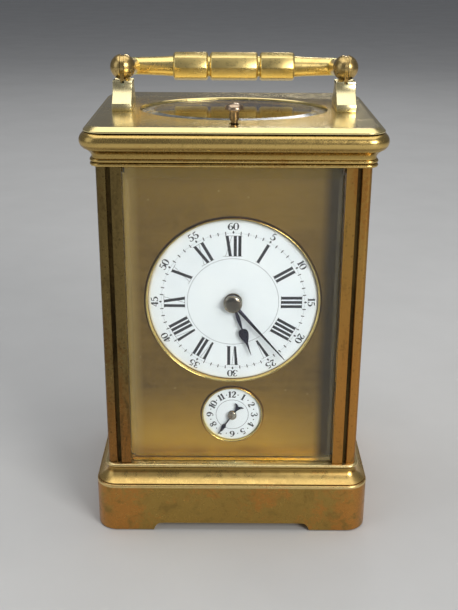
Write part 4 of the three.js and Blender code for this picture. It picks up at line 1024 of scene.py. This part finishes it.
class Dial:
    """A domed enamel disc facing the viewer, with a hole, in a fine brass rim."""

    def __init__(self, node, bezel, hole):
        box, rim = Box(node), Box(bezel)
        self.node, self.bezel, self.hole = node, bezel, hole
        self.radius, self.rim = box.size[0] / 2 + 0.2, rim.size[0] / 2 - 0.1
        self.x, self.z = box.mid[0], box.mid[2]
        self.front, self.back, self.rim_front = box.low[1], box.high[1], rim.low[1]
        self.inks = {}

    def surface(self, radius):
        """How far forward the enamel stands at a radius."""
        return self.front + 0.25 * (radius / self.radius) ** 2

    def build(self):
        face = [(self.hole, self.back), (self.hole, self.front + 0.25), (self.hole + 0.12, self.front + 0.08),
                (self.hole + 0.35, self.surface(self.hole))]
        face += [(self.radius * t, self.surface(self.radius * t)) for t in (0.2, 0.35, 0.5, 0.65, 0.8, 0.9)]
        face += [(self.radius - reach, self.surface(self.radius) + drop) for reach, drop in
                 ((1.2, 0.0), (0.8, 0.06), (0.45, 0.17), (0.2, 0.33), (0.05, 0.5))]
        face += [(self.radius, self.back)]
        disc = smooth(shift(lathe_y(face, 160, closed=True), self.x, 0, self.z), 40)
        make_object(f"{self.node}_enamel", disc, "enamel", self.node)
        inner, f, bead = self.radius + 0.02, self.rim_front, self.rim - 0.16
        rim = [(inner, self.back), (inner, f + 0.95), (inner + 0.04, f + 0.82), (bead - 0.26, f + 0.16),
               (bead - 0.22, f + 0.08), (bead - 0.18, f + 0.14), (bead - 0.15, f + 0.34),
               (bead - 0.11, f + 0.12)]
        rim += arc((bead, f + 0.16), 0.16, -140, 0, 7)
        rim += [(self.rim, self.back)]
        ring = smooth(shift(lathe_y(rim, 160, closed=True), self.x, 0, self.z), 60)
        make_object(f"{self.bezel}_ring", ring, "bezel", self.bezel)

    def print(self, colour, quads):
        self.inks.setdefault(colour, []).extend(quads)

    def finish(self):
        for colour, quads in self.inks.items():
            verts, faces = [], []
            for quad in quads:
                faces.append(tuple(range(len(verts), len(verts) + len(quad))))
                for x, z in quad:
                    verts.append((self.x + x, self.surface(math.hypot(x, z)) - 0.02, self.z + z))
            mesh = bpy.data.meshes.new("print")
            mesh.from_pydata([[c * MM for c in v] for v in verts], [], faces)
            for polygon in mesh.polygons:
                if polygon.normal.y > 0:
                    polygon.flip()
            make_object(f"{self.node}_{colour}", mesh, colour, rides=self.node)


def build_main_dial():
    dial = Dial("main_dial", "main_bezel", 2.9)
    dial.build()
    R = dial.radius
    hours = ["XII", "I", "II", "III", "IIII", "V", "VI", "VII", "VIII", "IX", "X", "XI"]
    for hour, text in enumerate(hours):
        dial.print("ink", round_dial(roman(text, 0.565 * R, 0.81 * R, 0.036 * R, 0.11), 30 * hour))
        mark = 0.852 * R
        diamond = [[(0, mark - 0.55), (0.36, mark), (0, mark + 0.55), (-0.36, mark)]]
        dial.print("ink", round_dial(diamond, 30 * hour))
        number = arabic(str(5 * hour or 60), 2.35, 2.8, 1.1)
        dial.print("ink", round_dial(raised(number, 0.922 * R), 30 * hour))
    for minute in range(60):
        if minute % 5:
            dial.print("ink", round_dial([bar(0, 0.32, 0.822 * R, 0.862 * R)], 6 * minute))
        for part in (1, 2, 3, 4):
            dial.print("hair_ink", round_dial(round_spot(0.842 * R, 0.1, 8), 6 * minute + 1.2 * part))
    dial.print("hair_ink", thin_ring(0.537 * R, 0.13))
    dial.finish()


def build_alarm_dial():
    dial = Dial("alarm_dial", "alarm_bezel", 1.3)
    dial.build()
    R = dial.radius
    for hour in range(12):
        number = arabic(str(hour or 12), 2.3, 2.6, 1.25)
        dial.print("ink", round_dial(raised(number, 0.755 * R), 30 * hour))
        dial.print("ink", round_dial(round_spot(0.755 * R, 0.22), 30 * hour + 15))
    dial.print("hair_ink", thin_ring(0.55 * R, 0.17, 72))
    dial.finish()


def build_mask():
    mask = Box("mask")
    sheet = cuboid(mask.low, mask.high)
    y0, y1 = mask.low[1], mask.high[1]
    holes = []
    for bezel in ("main_bezel", "alarm_bezel"):
        rim = Box(bezel)
        radius = rim.size[0] / 2 + 0.1
        holes.append(shift(lathe_y([(radius + 0.35, y0 - 0.5), (radius + 0.35, y0), (radius, y0 + 0.35),
                                    (radius, y1 + 1)], 128), rim.mid[0], 0, rim.mid[2]))
    make_object("gilt_mask", smooth(cut(sheet, *holes), 30), "mask", "mask")


# ------------------------------------------------------------------ hands

# Where the hands point, in degrees clockwise from twelve.
HOUR_TIME = 161.5
MINUTE_TIME = 139
ALARM_TIME = 214


def flat_hand(half, front, back, degrees):
    """A flat blued hand with softened edges, from a smooth half outline."""
    outline = mirrored(curved(half, 4))
    return clockwise(eased(facing(outline, front, back), 0.07, 2, 40), degrees)


def build_hands():
    hub = Box("hour_hand")
    centre_x, centre_z = Box("main_dial").mid[0], Box("main_dial").mid[2]
    hour_half = [(0.33, 2.6), (0.48, 4.0), (0.63, 5.6), (0.5, 7.3), (0.3, 8.8), (0.3, 9.4), (0.8, 9.62),
                 (1.35, 10.05), (1.6, 10.8), (1.56, 11.6), (1.25, 12.7), (0.82, 13.7), (0.46, 14.6),
                 (0.28, 16.0), (0.17, 17.8), (0.06, 19.2)]
    blade = flat_hand(hour_half, hub.low[1], hub.high[1], HOUR_TIME)
    plate = lathe_y([(2.4, hub.high[1]), (2.4, hub.low[1]), (2.9, hub.low[1]), (3.0, hub.low[1] + 0.1),
                     (3.0, hub.high[1])], 64, closed=True)
    make_object("hour_hand_blued", shift(join_meshes(blade, smooth(plate)), centre_x, 0, centre_z),
                "blued", "hour_hand")
    minute = Box("minute_hand")
    front, back = minute.low[1], minute.high[1]
    rings = []
    for z, half in ((1.5, 0.6), (3, 0.6), (10, 0.47), (18, 0.32), (24.5, 0.19), (25.9, 0.07)):
        rings.append([(half, back, z), (half, back - 0.12, z), (half * 0.25, front, z),
                      (-half * 0.25, front, z), (-half, back - 0.12, z), (-half, back, z)])
    blade = clockwise(smooth(loft(rings), 15), MINUTE_TIME)
    plate = lathe_y([(0.95, back), (0.95, front), (1.8, front), (1.9, back)], 48, closed=True)
    make_object("minute_hand_blued", shift(join_meshes(blade, smooth(plate)), centre_x, 0, centre_z),
                "blued", "minute_hand")
    collet = Box("minute_hand_collet")
    nose = collet.low[1]
    dome = [(radius, nose + behind) for radius, behind in
            ((2.75, 1.5), (2.95, 1.4), (3.0, 1.2), (2.97, 0.95), (2.82, 0.66), (2.55, 0.42), (2.15, 0.22),
             (1.6, 0.08), (1.0, 0.01), (0.5, -0.02), (0.05, -0.02))]
    make_object("hand_collet_dome", smooth(shift(lathe_y(dome, 64), centre_x, 0, centre_z), 60),
                "hub", "minute_hand_collet")
    alarm = Box("alarm_hand")
    alarm_x, alarm_z = Box("alarm_dial").mid[0], Box("alarm_dial").mid[2]
    pointer = [(0.2, 1.0), (0.2, 3.9), (0.36, 4.25), (0.68, 4.75), (0.72, 5.2), (0.5, 5.9), (0.28, 6.7),
               (0.12, 7.6), (0.05, 8.8)]
    tail = [(0.28, 1.0), (0.3, 2.0), (0.62, 2.9), (1.1, 3.7), (1.75, 4.3), (0.95, 4.35), (0.4, 4.05),
            (0.0, 3.85)]
    pieces = [flat_hand(half, alarm.low[1], alarm.high[1], degrees)
              for half, degrees in ((pointer, ALARM_TIME), (tail, ALARM_TIME - 180))]
    make_object("alarm_hand_blued", shift(join_meshes(*pieces), alarm_x, 0, alarm_z), "blued", "alarm_hand")
    collet = Box("alarm_collet")
    nose = collet.low[1]
    button = [(1.3, collet.high[1] + 0.1), (1.45, collet.high[1]), (1.45, nose + 0.25), (1.38, nose + 0.14),
              (1.1, nose + 0.04), (0.7, nose), (0.05, nose - 0.01)]
    dome = smooth(shift(lathe_y(button, 48), alarm_x, 0, alarm_z), 60)
    make_object("alarm_collet_dome", dome, "hub", "alarm_collet")


# ------------------------------------------------------------------ movement

# The modules follow from the wheels' spacing and tooth counts in the part.
TRAIN_MODULE = 0.36
BARREL_MODULE = 0.51
MOTION_MODULE = 0.5
HOUR_MODULE = 24.0 / 50
PIVOT_FRONT, PIVOT_BACK = -19.8, 15.8
HAMMER_PIVOT = (24.0, 103.0)
GONG_CENTRE = 64.0
COIL_START, COIL_END = 19.65, 25.5
WIRE = 0.6
BALANCE = (-9.0, -5.0)
COCK_FOOT = (-17.5, -13.5)
ESCAPE = (0, 7.2)


def toothed(teeth, tip, root):
    """The outline of a wheel with rounded teeth, one of them along +X."""
    outline = []
    pitch = 2 * math.pi / teeth
    middle = (root + tip) / 2
    for k in range(teeth):
        for share, radius in ((-0.27, root), (-0.2, middle), (-0.09, tip - 0.04), (0, tip),
                              (0.09, tip - 0.04), (0.2, middle), (0.27, root)):
            outline.append(polar(radius, (k + share) * pitch))
    return outline


def wheel(teeth, module, phase, front, back, spokes=0, rim=1.6):
    """A clock wheel about Y with a tooth at `phase` radians, crossed out with spokes when asked."""
    pitch = teeth * module / 2
    disc = facing(toothed(teeth, pitch + 0.6 * module, pitch - module), front, back)
    inner, outer = 2.4, pitch - module - rim
    for k in range(spokes):
        middle = 2 * math.pi * (k + 0.5) / spokes
        half = math.pi / spokes
        wide, narrow = half - 0.65 / outer, half - 0.65 / inner
        window = [polar(outer, middle + wide * t / 8) for t in range(-8, 9)]
        window += [polar(inner, middle + narrow * t / 4) for t in range(4, -5, -1)]
        disc = cut(disc, facing(window, front - 1, back + 1))
    return turn(smooth(disc, 40), -math.degrees(phase), "Y")


def gap_at(teeth, towards):
    """The phase that puts a tooth gap against a tooth that comes from `towards`."""
    return towards + math.pi + math.pi / teeth


def arbor(front, back, radius=0.9):
    return smooth(lathe_y([(radius - 0.2, front), (radius, front + 0.25), (radius, back - 0.25),
                           (radius - 0.2, back)], 24), 40)


def axis_of(node):
    """An arbor's place: the wheels are round, so it is the middle of the node's box."""
    box = Box(node)
    return box.mid[0], box.mid[2]


def angle_from(node, other):
    (x0, z0), (x1, z1) = axis_of(node), axis_of(other)
    return math.atan2(z1 - z0, x1 - x0)


def mount(name, node, material, *meshes):
    x, z = axis_of(node)
    make_object(name, shift(join_meshes(*meshes), x, 0, z), material, node)


def add_on(name, node, material, *meshes):
    """A detail of another material that rides with a node at its axis."""
    x, z = axis_of(node)
    make_object(name, shift(join_meshes(*meshes), x, 0, z), material, rides=node)


def screw_head(radius, x, y, z, direction=1, axis="Y"):
    """A slotted, slightly domed screw head standing towards -Y (direction -1) or +Y."""
    head = lathe([(radius, 0), (radius, 0.45), (radius - 0.15, 0.6), (radius * 0.5, 0.72), (0.02, 0.76)], 28)
    slot = cuboid((-radius - 1, -0.16, 0.4), (radius + 1, 0.16, 2))
    head = turn(smooth(cut(head, slot), 30), 35, "Z")
    if axis == "Y":
        head = turn(head, -90 * direction, "X")
    return shift(head, x, y, z)


def build_plates():
    through = ("centre_wheel", "third_wheel", "contrate_wheel", "strike_wheel", "fly")
    pivots = [axis_of(node) for node in through]
    barrels = [axis_of(node) for node in ("going_barrel", "strike_barrel")]
    fronts = [axis_of("minute_wheel"), axis_of("alarm_arbor")]
    for node, outward, extra in (("front_plate", -1, fronts), ("back_plate", 1, [HAMMER_PIVOT])):
        plate = Box(node)
        sheet = eased(cuboid(plate.low, plate.high), 0.3, 2)
        outer = plate.low[1] if outward < 0 else plate.high[1]
        drills = []
        for places, radius in ((pivots + extra, 1.05), (barrels, 1.85)):
            for x, z in places:
                sink = [(radius, outer - outward * 3), (radius, outer - outward * 0.7),
                        (radius + 0.9, outer - outward * 0.1), (radius + 0.95, outer + outward)]
                drills.append(shift(lathe_y(sink if outward > 0 else sink[::-1], 28), x, 0, z))
        make_object(f"{node}_drilled", smooth(cut(sheet, *drills), 30), "movement", node)
        for pillar in ("lower_left", "upper_left", "lower_right", "upper_right"):
            x, z = axis_of(f"movement_pillar_{pillar}")
            make_object(f"{node}_screw", screw_head(2.1, x, outer, z, outward), "blued", rides=node)
    for level in ("lower", "upper"):
        for side in ("left", "right"):
            node = f"movement_pillar_{level}_{side}"
            column = Box(node)
            y0, y1 = column.low[1], column.high[1]
            r = column.size[0] / 2
            half = [(r - 0.3, 0), (r, 0.3), (r, 2.4), (r - 0.35, 2.7), (r - 0.1, 3.1), (2.1, 4.1)]
            profile = [(a, y0 + b) for a, b in half] + [(a, y1 - b) for a, b in reversed(half)]
            mount(f"{node}_turned", node, "wheel", smooth(lathe_y(profile, 36), 40))
    for end in ("front", "back"):
        for side in ("left", "right"):
            node = f"base_screw_{end}_{side}"
            screw = Box(node)
            low = screw.low[2]
            head = lathe([(2.35, low), (2.6, low + 0.25), (2.6, low + 1.7), (1.3, low + 1.7),
                          (1.3, screw.high[2])], 32)
            head = cut(head, cuboid((-4, -0.3, low - 1), (4, 0.3, low + 0.7)))
            make_object(f"{node}_slotted", smooth(shift(head, screw.mid[0], screw.mid[1]), 30), "steel", node)


def build_barrels():
    front, back, plate_back = -12.0, 9.0, 16.4
    for node, phase in (("going_barrel", gap_at(60, angle_from("centre_wheel", "going_barrel"))),
                        ("strike_barrel", angle_from("strike_barrel", "strike_wheel"))):
        drum = [(14.0, front + 1.55), (14.2, front + 1.8), (14.2, front + 3.4), (13.95, front + 3.6),
                (14.2, front + 3.8), (14.2, back - 2.6), (13.95, back - 2.4), (14.2, back - 2.2),
                (14.2, back - 1.0), (13.9, back - 0.6), (13.0, back - 0.5), (12.8, back - 0.2), (5, back),
                (4.6, back - 0.15), (3.2, back - 0.15), (2.9, back + 0.4), (1.7, back + 0.5)]
        gear = wheel(60, BARREL_MODULE, phase, front, front + 1.6)
        square = eased(cuboid((-1.3, plate_back, -1.3), (1.3, 23.5, 1.3)), 0.2)
        mount(f"{node}_drum", node, "wheel", gear, smooth(lathe_y(drum, 96), 30),
              arbor(PIVOT_FRONT, plate_back + 0.2, 1.7), square)
        rings = lathe_y([(5.5, back - 0.02), (7.5, back - 0.02), (7.5, back + 0.25), (5.5, back + 0.25)], 48,
                        closed=True)
        add_on(f"{node}_click_ring", node, "steel", smooth(rings))


def build_train():
    to_third = angle_from("centre_wheel", "third_wheel")
    to_barrel = angle_from("centre_wheel", "going_barrel")
    to_contrate = angle_from("third_wheel", "contrate_wheel")
    mount("centre_wheel_crossed", "centre_wheel", "wheel",
          wheel(64, TRAIN_MODULE, to_third, -16.6, -15.6, spokes=5),
          wheel(10, BARREL_MODULE, to_barrel, -12.6, -9.8), arbor(-20.4, 21.0))
    mount("third_wheel_crossed", "third_wheel", "wheel",
          wheel(60, TRAIN_MODULE, to_contrate, 11.4, 12.4, spokes=5),
          wheel(8, TRAIN_MODULE, gap_at(8, to_third), -17.1, -15.1), arbor(PIVOT_FRONT, PIVOT_BACK))
    crown = facing(toothed(36, 10.33, 9.45), 2.0, 5.0)
    crown = cut(crown, lathe_y([(8.8, 2.8), (8.8, 6)], 64), lathe_y([(9.3, 3.6), (9.3, 6)], 64))
    mount("contrate_wheel_crown", "contrate_wheel", "wheel", smooth(crown, 30),
          wheel(8, TRAIN_MODULE, gap_at(8, to_contrate), 10.9, 12.9), arbor(PIVOT_FRONT, PIVOT_BACK))
    to_strike = angle_from("strike_barrel", "strike_wheel")
    to_fly = angle_from("strike_wheel", "fly")
    mount("strike_wheel_crossed", "strike_wheel", "wheel",
          wheel(48, TRAIN_MODULE, to_fly, 11.4, 12.4, spokes=4),
          wheel(10, BARREL_MODULE, gap_at(10, to_strike), -12.4, -10.0), arbor(PIVOT_FRONT, PIVOT_BACK))
    vane = eased(cuboid((-5.5, -6, -0.3), (5.5, 6, 0.3)), 0.12)
    hub = smooth(lathe_y([(1.5, -6), (1.5, 6)], 24))
    mount("fly_vanes", "fly", "wheel", vane, hub, wheel(8, TRAIN_MODULE, gap_at(8, to_fly), 10.9, 12.9),
          arbor(PIVOT_FRONT, PIVOT_BACK))
    to_minute = angle_from("cannon_pinion", "minute_wheel")
    tube = lathe_y([(0.93, -29.18), (1.4, -29.18), (1.4, -22), (0.93, -22)], 32, closed=True)
    leaves = cut(wheel(12, MOTION_MODULE, to_minute, -22.6, -20.6), lathe_y([(0.93, -30), (0.93, 0)], 24))
    mount("cannon_pinion_cut", "cannon_pinion", "steel", smooth(tube, 30), leaves)
    mount("minute_wheel_cut", "minute_wheel", "wheel",
          wheel(36, MOTION_MODULE, gap_at(36, to_minute), -22, -21, spokes=4),
          wheel(10, HOUR_MODULE, to_minute + math.pi, -24.8, -22.2), arbor(-24.8, -18.5))
    hour_gear = wheel(40, HOUR_MODULE, gap_at(40, to_minute + math.pi), -24.4, -23.4)
    hour_gear = cut(hour_gear, lathe_y([(1.6, -30), (1.6, 0)], 32))
    pipe = lathe_y([(1.6, -28.9), (2.3, -28.9), (2.3, -23.9), (1.6, -23.9)], 40, closed=True)
    mount("hour_wheel_cut", "hour_wheel", "wheel", hour_gear, smooth(pipe, 30))
    cam = smooth(lathe_y([(3.8, -22.2), (4, -22.0), (4, -21.2), (3.8, -21)], 48), 30)
    mount("alarm_arbor_turned", "alarm_arbor", "wheel", cam, arbor(Box("alarm_arbor").low[1], -18.4, 0.75))


def spiral(start, radius_in, radius_out, turns, steps, section):
    """A ribbon or wire wound in the X-Z plane; section lists (outwards, y) corners."""
    rings = []
    for i in range(steps + 1):
        t = i / steps
        radius = radius_in + (radius_out - radius_in) * t
        ring = [(*polar(radius + out, start + 2 * math.pi * turns * t), y) for out, y in section]
        rings.append([(x, y, z) for x, z, y in ring])
    return smooth(loft(rings), 40)


def build_strike_work():
    gong = Box("gong")
    middle = (gong.low[1] + gong.high[1]) / 2
    wire = [(x, middle + y) for x, y in circle(WIRE, 8)]
    coil = spiral(-math.pi / 2, COIL_START, COIL_END, 2.25, 180, wire)
    make_object("gong_coil", shift(coil, 0, 0, GONG_CENTRE), "blued", "gong")
    block = Box("gong_block")
    x0, (x1, y1, z1) = block.low[0], block.high
    slot = cuboid((x0 - 1, middle - 1.0, -100), (x1 + 1, middle + 1.0, GONG_CENTRE - COIL_START))
    body = cut(cuboid(block.low, block.high), slot)
    make_object("gong_block_slotted", eased(body, 0.3), "wheel", "gong_block")
    make_object("gong_block_screw", screw_head(1.4, block.mid[0], y1, z1 - 1.9, 1), "steel",
                rides="gong_block")
    hammer_x, hammer_z = HAMMER_PIVOT
    strike = math.radians(40)
    reach = COIL_END + WIRE + 1 + 2.2
    head_x, head_z = reach * math.cos(strike) - hammer_x, GONG_CENTRE + reach * math.sin(strike) - hammer_z
    head = lathe_x([(1.9, -2.2), (2.2, -1.9), (2.2, 1.9), (1.9, 2.2)], 40)
    head = shift(turn(smooth(head, 40), -40, "Y"), head_x, middle, head_z)
    length = math.hypot(head_x, head_z)
    arm = [(0, -1.0), (length * 0.4, -0.6), (length, -0.5), (length, 0.5), (length * 0.4, 0.6), (0, 1.0)]
    heading = math.degrees(math.atan2(head_z, head_x))
    arm = turn(eased(facing(arm, middle - 0.6, middle + 0.6), 0.15), -heading, "Y")
    pivot = smooth(lathe_y([(0.9, 10), (0.9, middle - 1), (1.7, middle - 1), (1.7, middle + 0.9),
                            (1.2, middle + 1.1)], 28), 40)
    make_object("strike_hammer", shift(join_meshes(arm, head, pivot), hammer_x, 0, hammer_z), "steel",
                "hammer")


def build_platform():
    plate = Box("platform")
    (y0, z0), (y1, z1) = plate.low[1:], plate.high[1:]
    sheet = shift(moulding([(-0.2, z0), (0, z0 + 0.2), (0, z1 - 0.2), (-0.2, z1)], plate.size[0] / 2,
                           plate.size[1] / 2, 2.5, 8), plate.mid[0], plate.mid[1])
    sheet = cut(sheet, shift(lathe([(1.6, z0 - 1), (1.6, z1 + 1)], 32), *ESCAPE),
                shift(lathe([(1.05, z0 - 1), (1.05, z1 + 1)], 32), *BALANCE))
    make_object("platform_plate", smooth(sheet, 30), "platform", "platform")
    for x in (-19.5, 19.5):
        for y in (y0 + 2.5, y1 - 2.5):
            make_object("platform_screw", screw_head(1.5, x, y, z1, axis="Z"), "blued",
                        rides="platform")
    balance = Box("balance_wheel")
    height = 117.6
    rim = smooth(lathe([(6.4, height), (7.3, height), (7.4, height + 0.1), (7.4, height + 0.9),
                        (7.3, height + 1), (6.4, height + 1)], 96, closed=True), 40)
    arm = eased(cuboid((-6.6, -0.5, height + 0.15), (6.6, 0.5, height + 0.85)), 0.12)
    low, high = balance.low[2], balance.high[2]
    staff = smooth(lathe([(0.2, low), (0.5, low + 0.5), (0.5, height - 1), (1.2, height - 0.6),
                          (1.2, height + 1.1), (0.5, height + 1.3), (0.5, high - 0.5), (0.2, high)], 24), 40)
    studs = []
    for k in range(14):
        angle = 2 * math.pi * (k + 0.5) / 14
        stud = lathe_x([(0.42, 7.2), (0.42, 7.75), (0.3, 7.9)], 12)
        studs.append(shift(turn(stud, math.degrees(angle), "Z"), 0, 0, height + 0.5))
    mesh = join_meshes(rim, arm, staff, *[smooth(stud) for stud in studs])
    make_object("balance_with_screws", shift(mesh, *BALANCE), "bezel", "balance_wheel")
    ribbon_section = [(-0.05, -0.25), (0.05, -0.25), (0.05, 0.25), (-0.05, 0.25)]
    hair = turn(spiral(0, 1.4, 4.6, 8, 320, ribbon_section), 90, "X")
    make_object("hairspring", shift(hair, *BALANCE, height + 1.9), "blued", rides="balance_wheel")
    wheel_z = 115.6
    teeth = []
    for k in range(15):
        for share, radius in ((0, 2.75), (0.28, 2.8), (0.72, 3.45), (0.8, 3.6), (0.95, 3.55), (0.99, 2.8)):
            teeth.append(polar(radius, 2 * math.pi * (k + share) / 15))
    escape = prism(teeth, wheel_z, wheel_z + 0.5)
    for k in range(4):
        hole = shift(lathe([(0.75, wheel_z - 1), (0.75, wheel_z + 1)], 20), 1.6)
        escape = cut(escape, turn(hole, 90 * k + 45, "Z"))
    escape_box = Box("escape_wheel")
    low, high = escape_box.low[2], escape_box.high[2]
    staff = lathe([(0.15, low), (0.4, low + 0.2), (0.4, high - 0.3), (0.15, high)], 20)
    leaves = prism(toothed(7, 1.2, 0.75), low + 0.2, low + 3.2)
    mesh = join_meshes(smooth(escape, 30), smooth(staff), smooth(leaves, 40))
    make_object("escape_wheel_cut", shift(mesh, *ESCAPE), "bezel", "escape_wheel")
    cock = Box("balance_cock")
    top, bottom = cock.high[2], cock.high[2] - 1.4
    foot_x, foot_y = COCK_FOOT
    along_x, along_y = BALANCE[0] - foot_x, BALANCE[1] - foot_y
    heading, run = math.atan2(along_y, along_x), math.hypot(along_x, along_y)
    plan = [(-2.2, -2.2), (run * 0.45, -1.5), *arc((run, 0), 2.6, -120, 120, 20),
            (run * 0.45, 1.5), (-2.2, 2.2)]
    arm = shift(turn(prism(plan, bottom, top), math.degrees(heading), "Z"), foot_x, foot_y)
    leg = cuboid((foot_x - 2.25, foot_y - 2.25, z1), (foot_x + 2.25, foot_y + 2.25, bottom + 0.2))
    make_object("balance_cock_arm", join_meshes(eased(arm, 0.25), eased(leg, 0.2)), "platform",
                "balance_cock")
    for name, place, radius, paint in (("cock_screw", COCK_FOOT, 1.3, "blued"),
                                       ("balance_end_cap", BALANCE, 1.2, "steel")):
        make_object(name, screw_head(radius, *place, top, axis="Z"), paint, rides="balance_cock")


# ------------------------------------------------------------------ camera, floor and light

SENSOR = 36.0
FOCAL_PIXELS = 939
PHOTO_HEIGHT = 610


def build_camera():
    lens = bpy.data.cameras.new("camera")
    lens.sensor_fit = "VERTICAL"
    lens.sensor_height = SENSOR
    lens.lens = SENSOR * FOCAL_PIXELS / PHOTO_HEIGHT
    camera = bpy.data.objects.new("camera", lens)
    bpy.context.scene.collection.objects.link(camera)
    place = Vector((-1.22, -310.73, 188.62)) * MM
    down, yaw, roll = math.radians(21.15), math.radians(0.01), math.radians(0.31)
    heading = Matrix.Rotation(yaw, 4, "Z") @ Matrix.Rotation(math.pi / 2 - down, 4, "X")
    camera.matrix_world = Matrix.Translation(place) @ heading @ Matrix.Rotation(roll, 4, "Z")
    bpy.context.scene.camera = camera


def softbox(name, place, target, size, power, color=(1, 1, 1)):
    """A rectangular lamp at `place` facing `target`, in metres."""
    lamp = bpy.data.lights.new(name, "AREA")
    lamp.shape = "RECTANGLE"
    lamp.size, lamp.size_y = size
    lamp.energy = power
    lamp.color = color
    holder = bpy.data.objects.new(name, lamp)
    bpy.context.scene.collection.objects.link(holder)
    away = Vector(place) - Vector(target)
    holder.matrix_world = Matrix.Translation(place) @ away.to_track_quat("Z", "Y").to_matrix().to_4x4()
    return holder


def build_stage():
    side = 4000
    make_object("floor", cuboid((-side, -side, -4), (side, side, 0)), "floor")


def build_lights():
    world = bpy.data.worlds.new("studio")
    world.use_nodes = True
    sky = world.node_tree.nodes["Background"]
    sky.inputs["Color"].default_value = (0.90, 0.93, 1.0, 1)
    sky.inputs["Strength"].default_value = 0.16
    bpy.context.scene.world = world
    middle = (0, 0, 0.08)
    softbox("overhead_light", (0.0, 0.03, 1.02), middle, (1.3, 1.1), 6.4)
    softbox("window_light", (0.1, 0.95, 0.6), middle, (0.2, 0.14), 0.6)
    softbox("key_light", (0.55, -0.75, 0.5), middle, (0.42, 0.42), 6.0, (1.0, 0.98, 0.95))
    softbox("left_light", (-0.9, -0.4, 0.5), middle, (0.6, 0.8), 1.0, (0.92, 0.96, 1.0))


# ------------------------------------------------------------------ assembly

build_base()
build_cornice()
build_top_plate()
build_pillars()
build_glasses()
build_posts()
build_bail()
build_button()
build_door()
build_main_dial()
build_alarm_dial()
build_mask()
build_hands()
build_plates()
build_barrels()
build_train()
build_strike_work()
build_platform()
build_camera()
build_stage()
build_lights()
bpy.context.scene.view_settings.view_transform = "Standard"
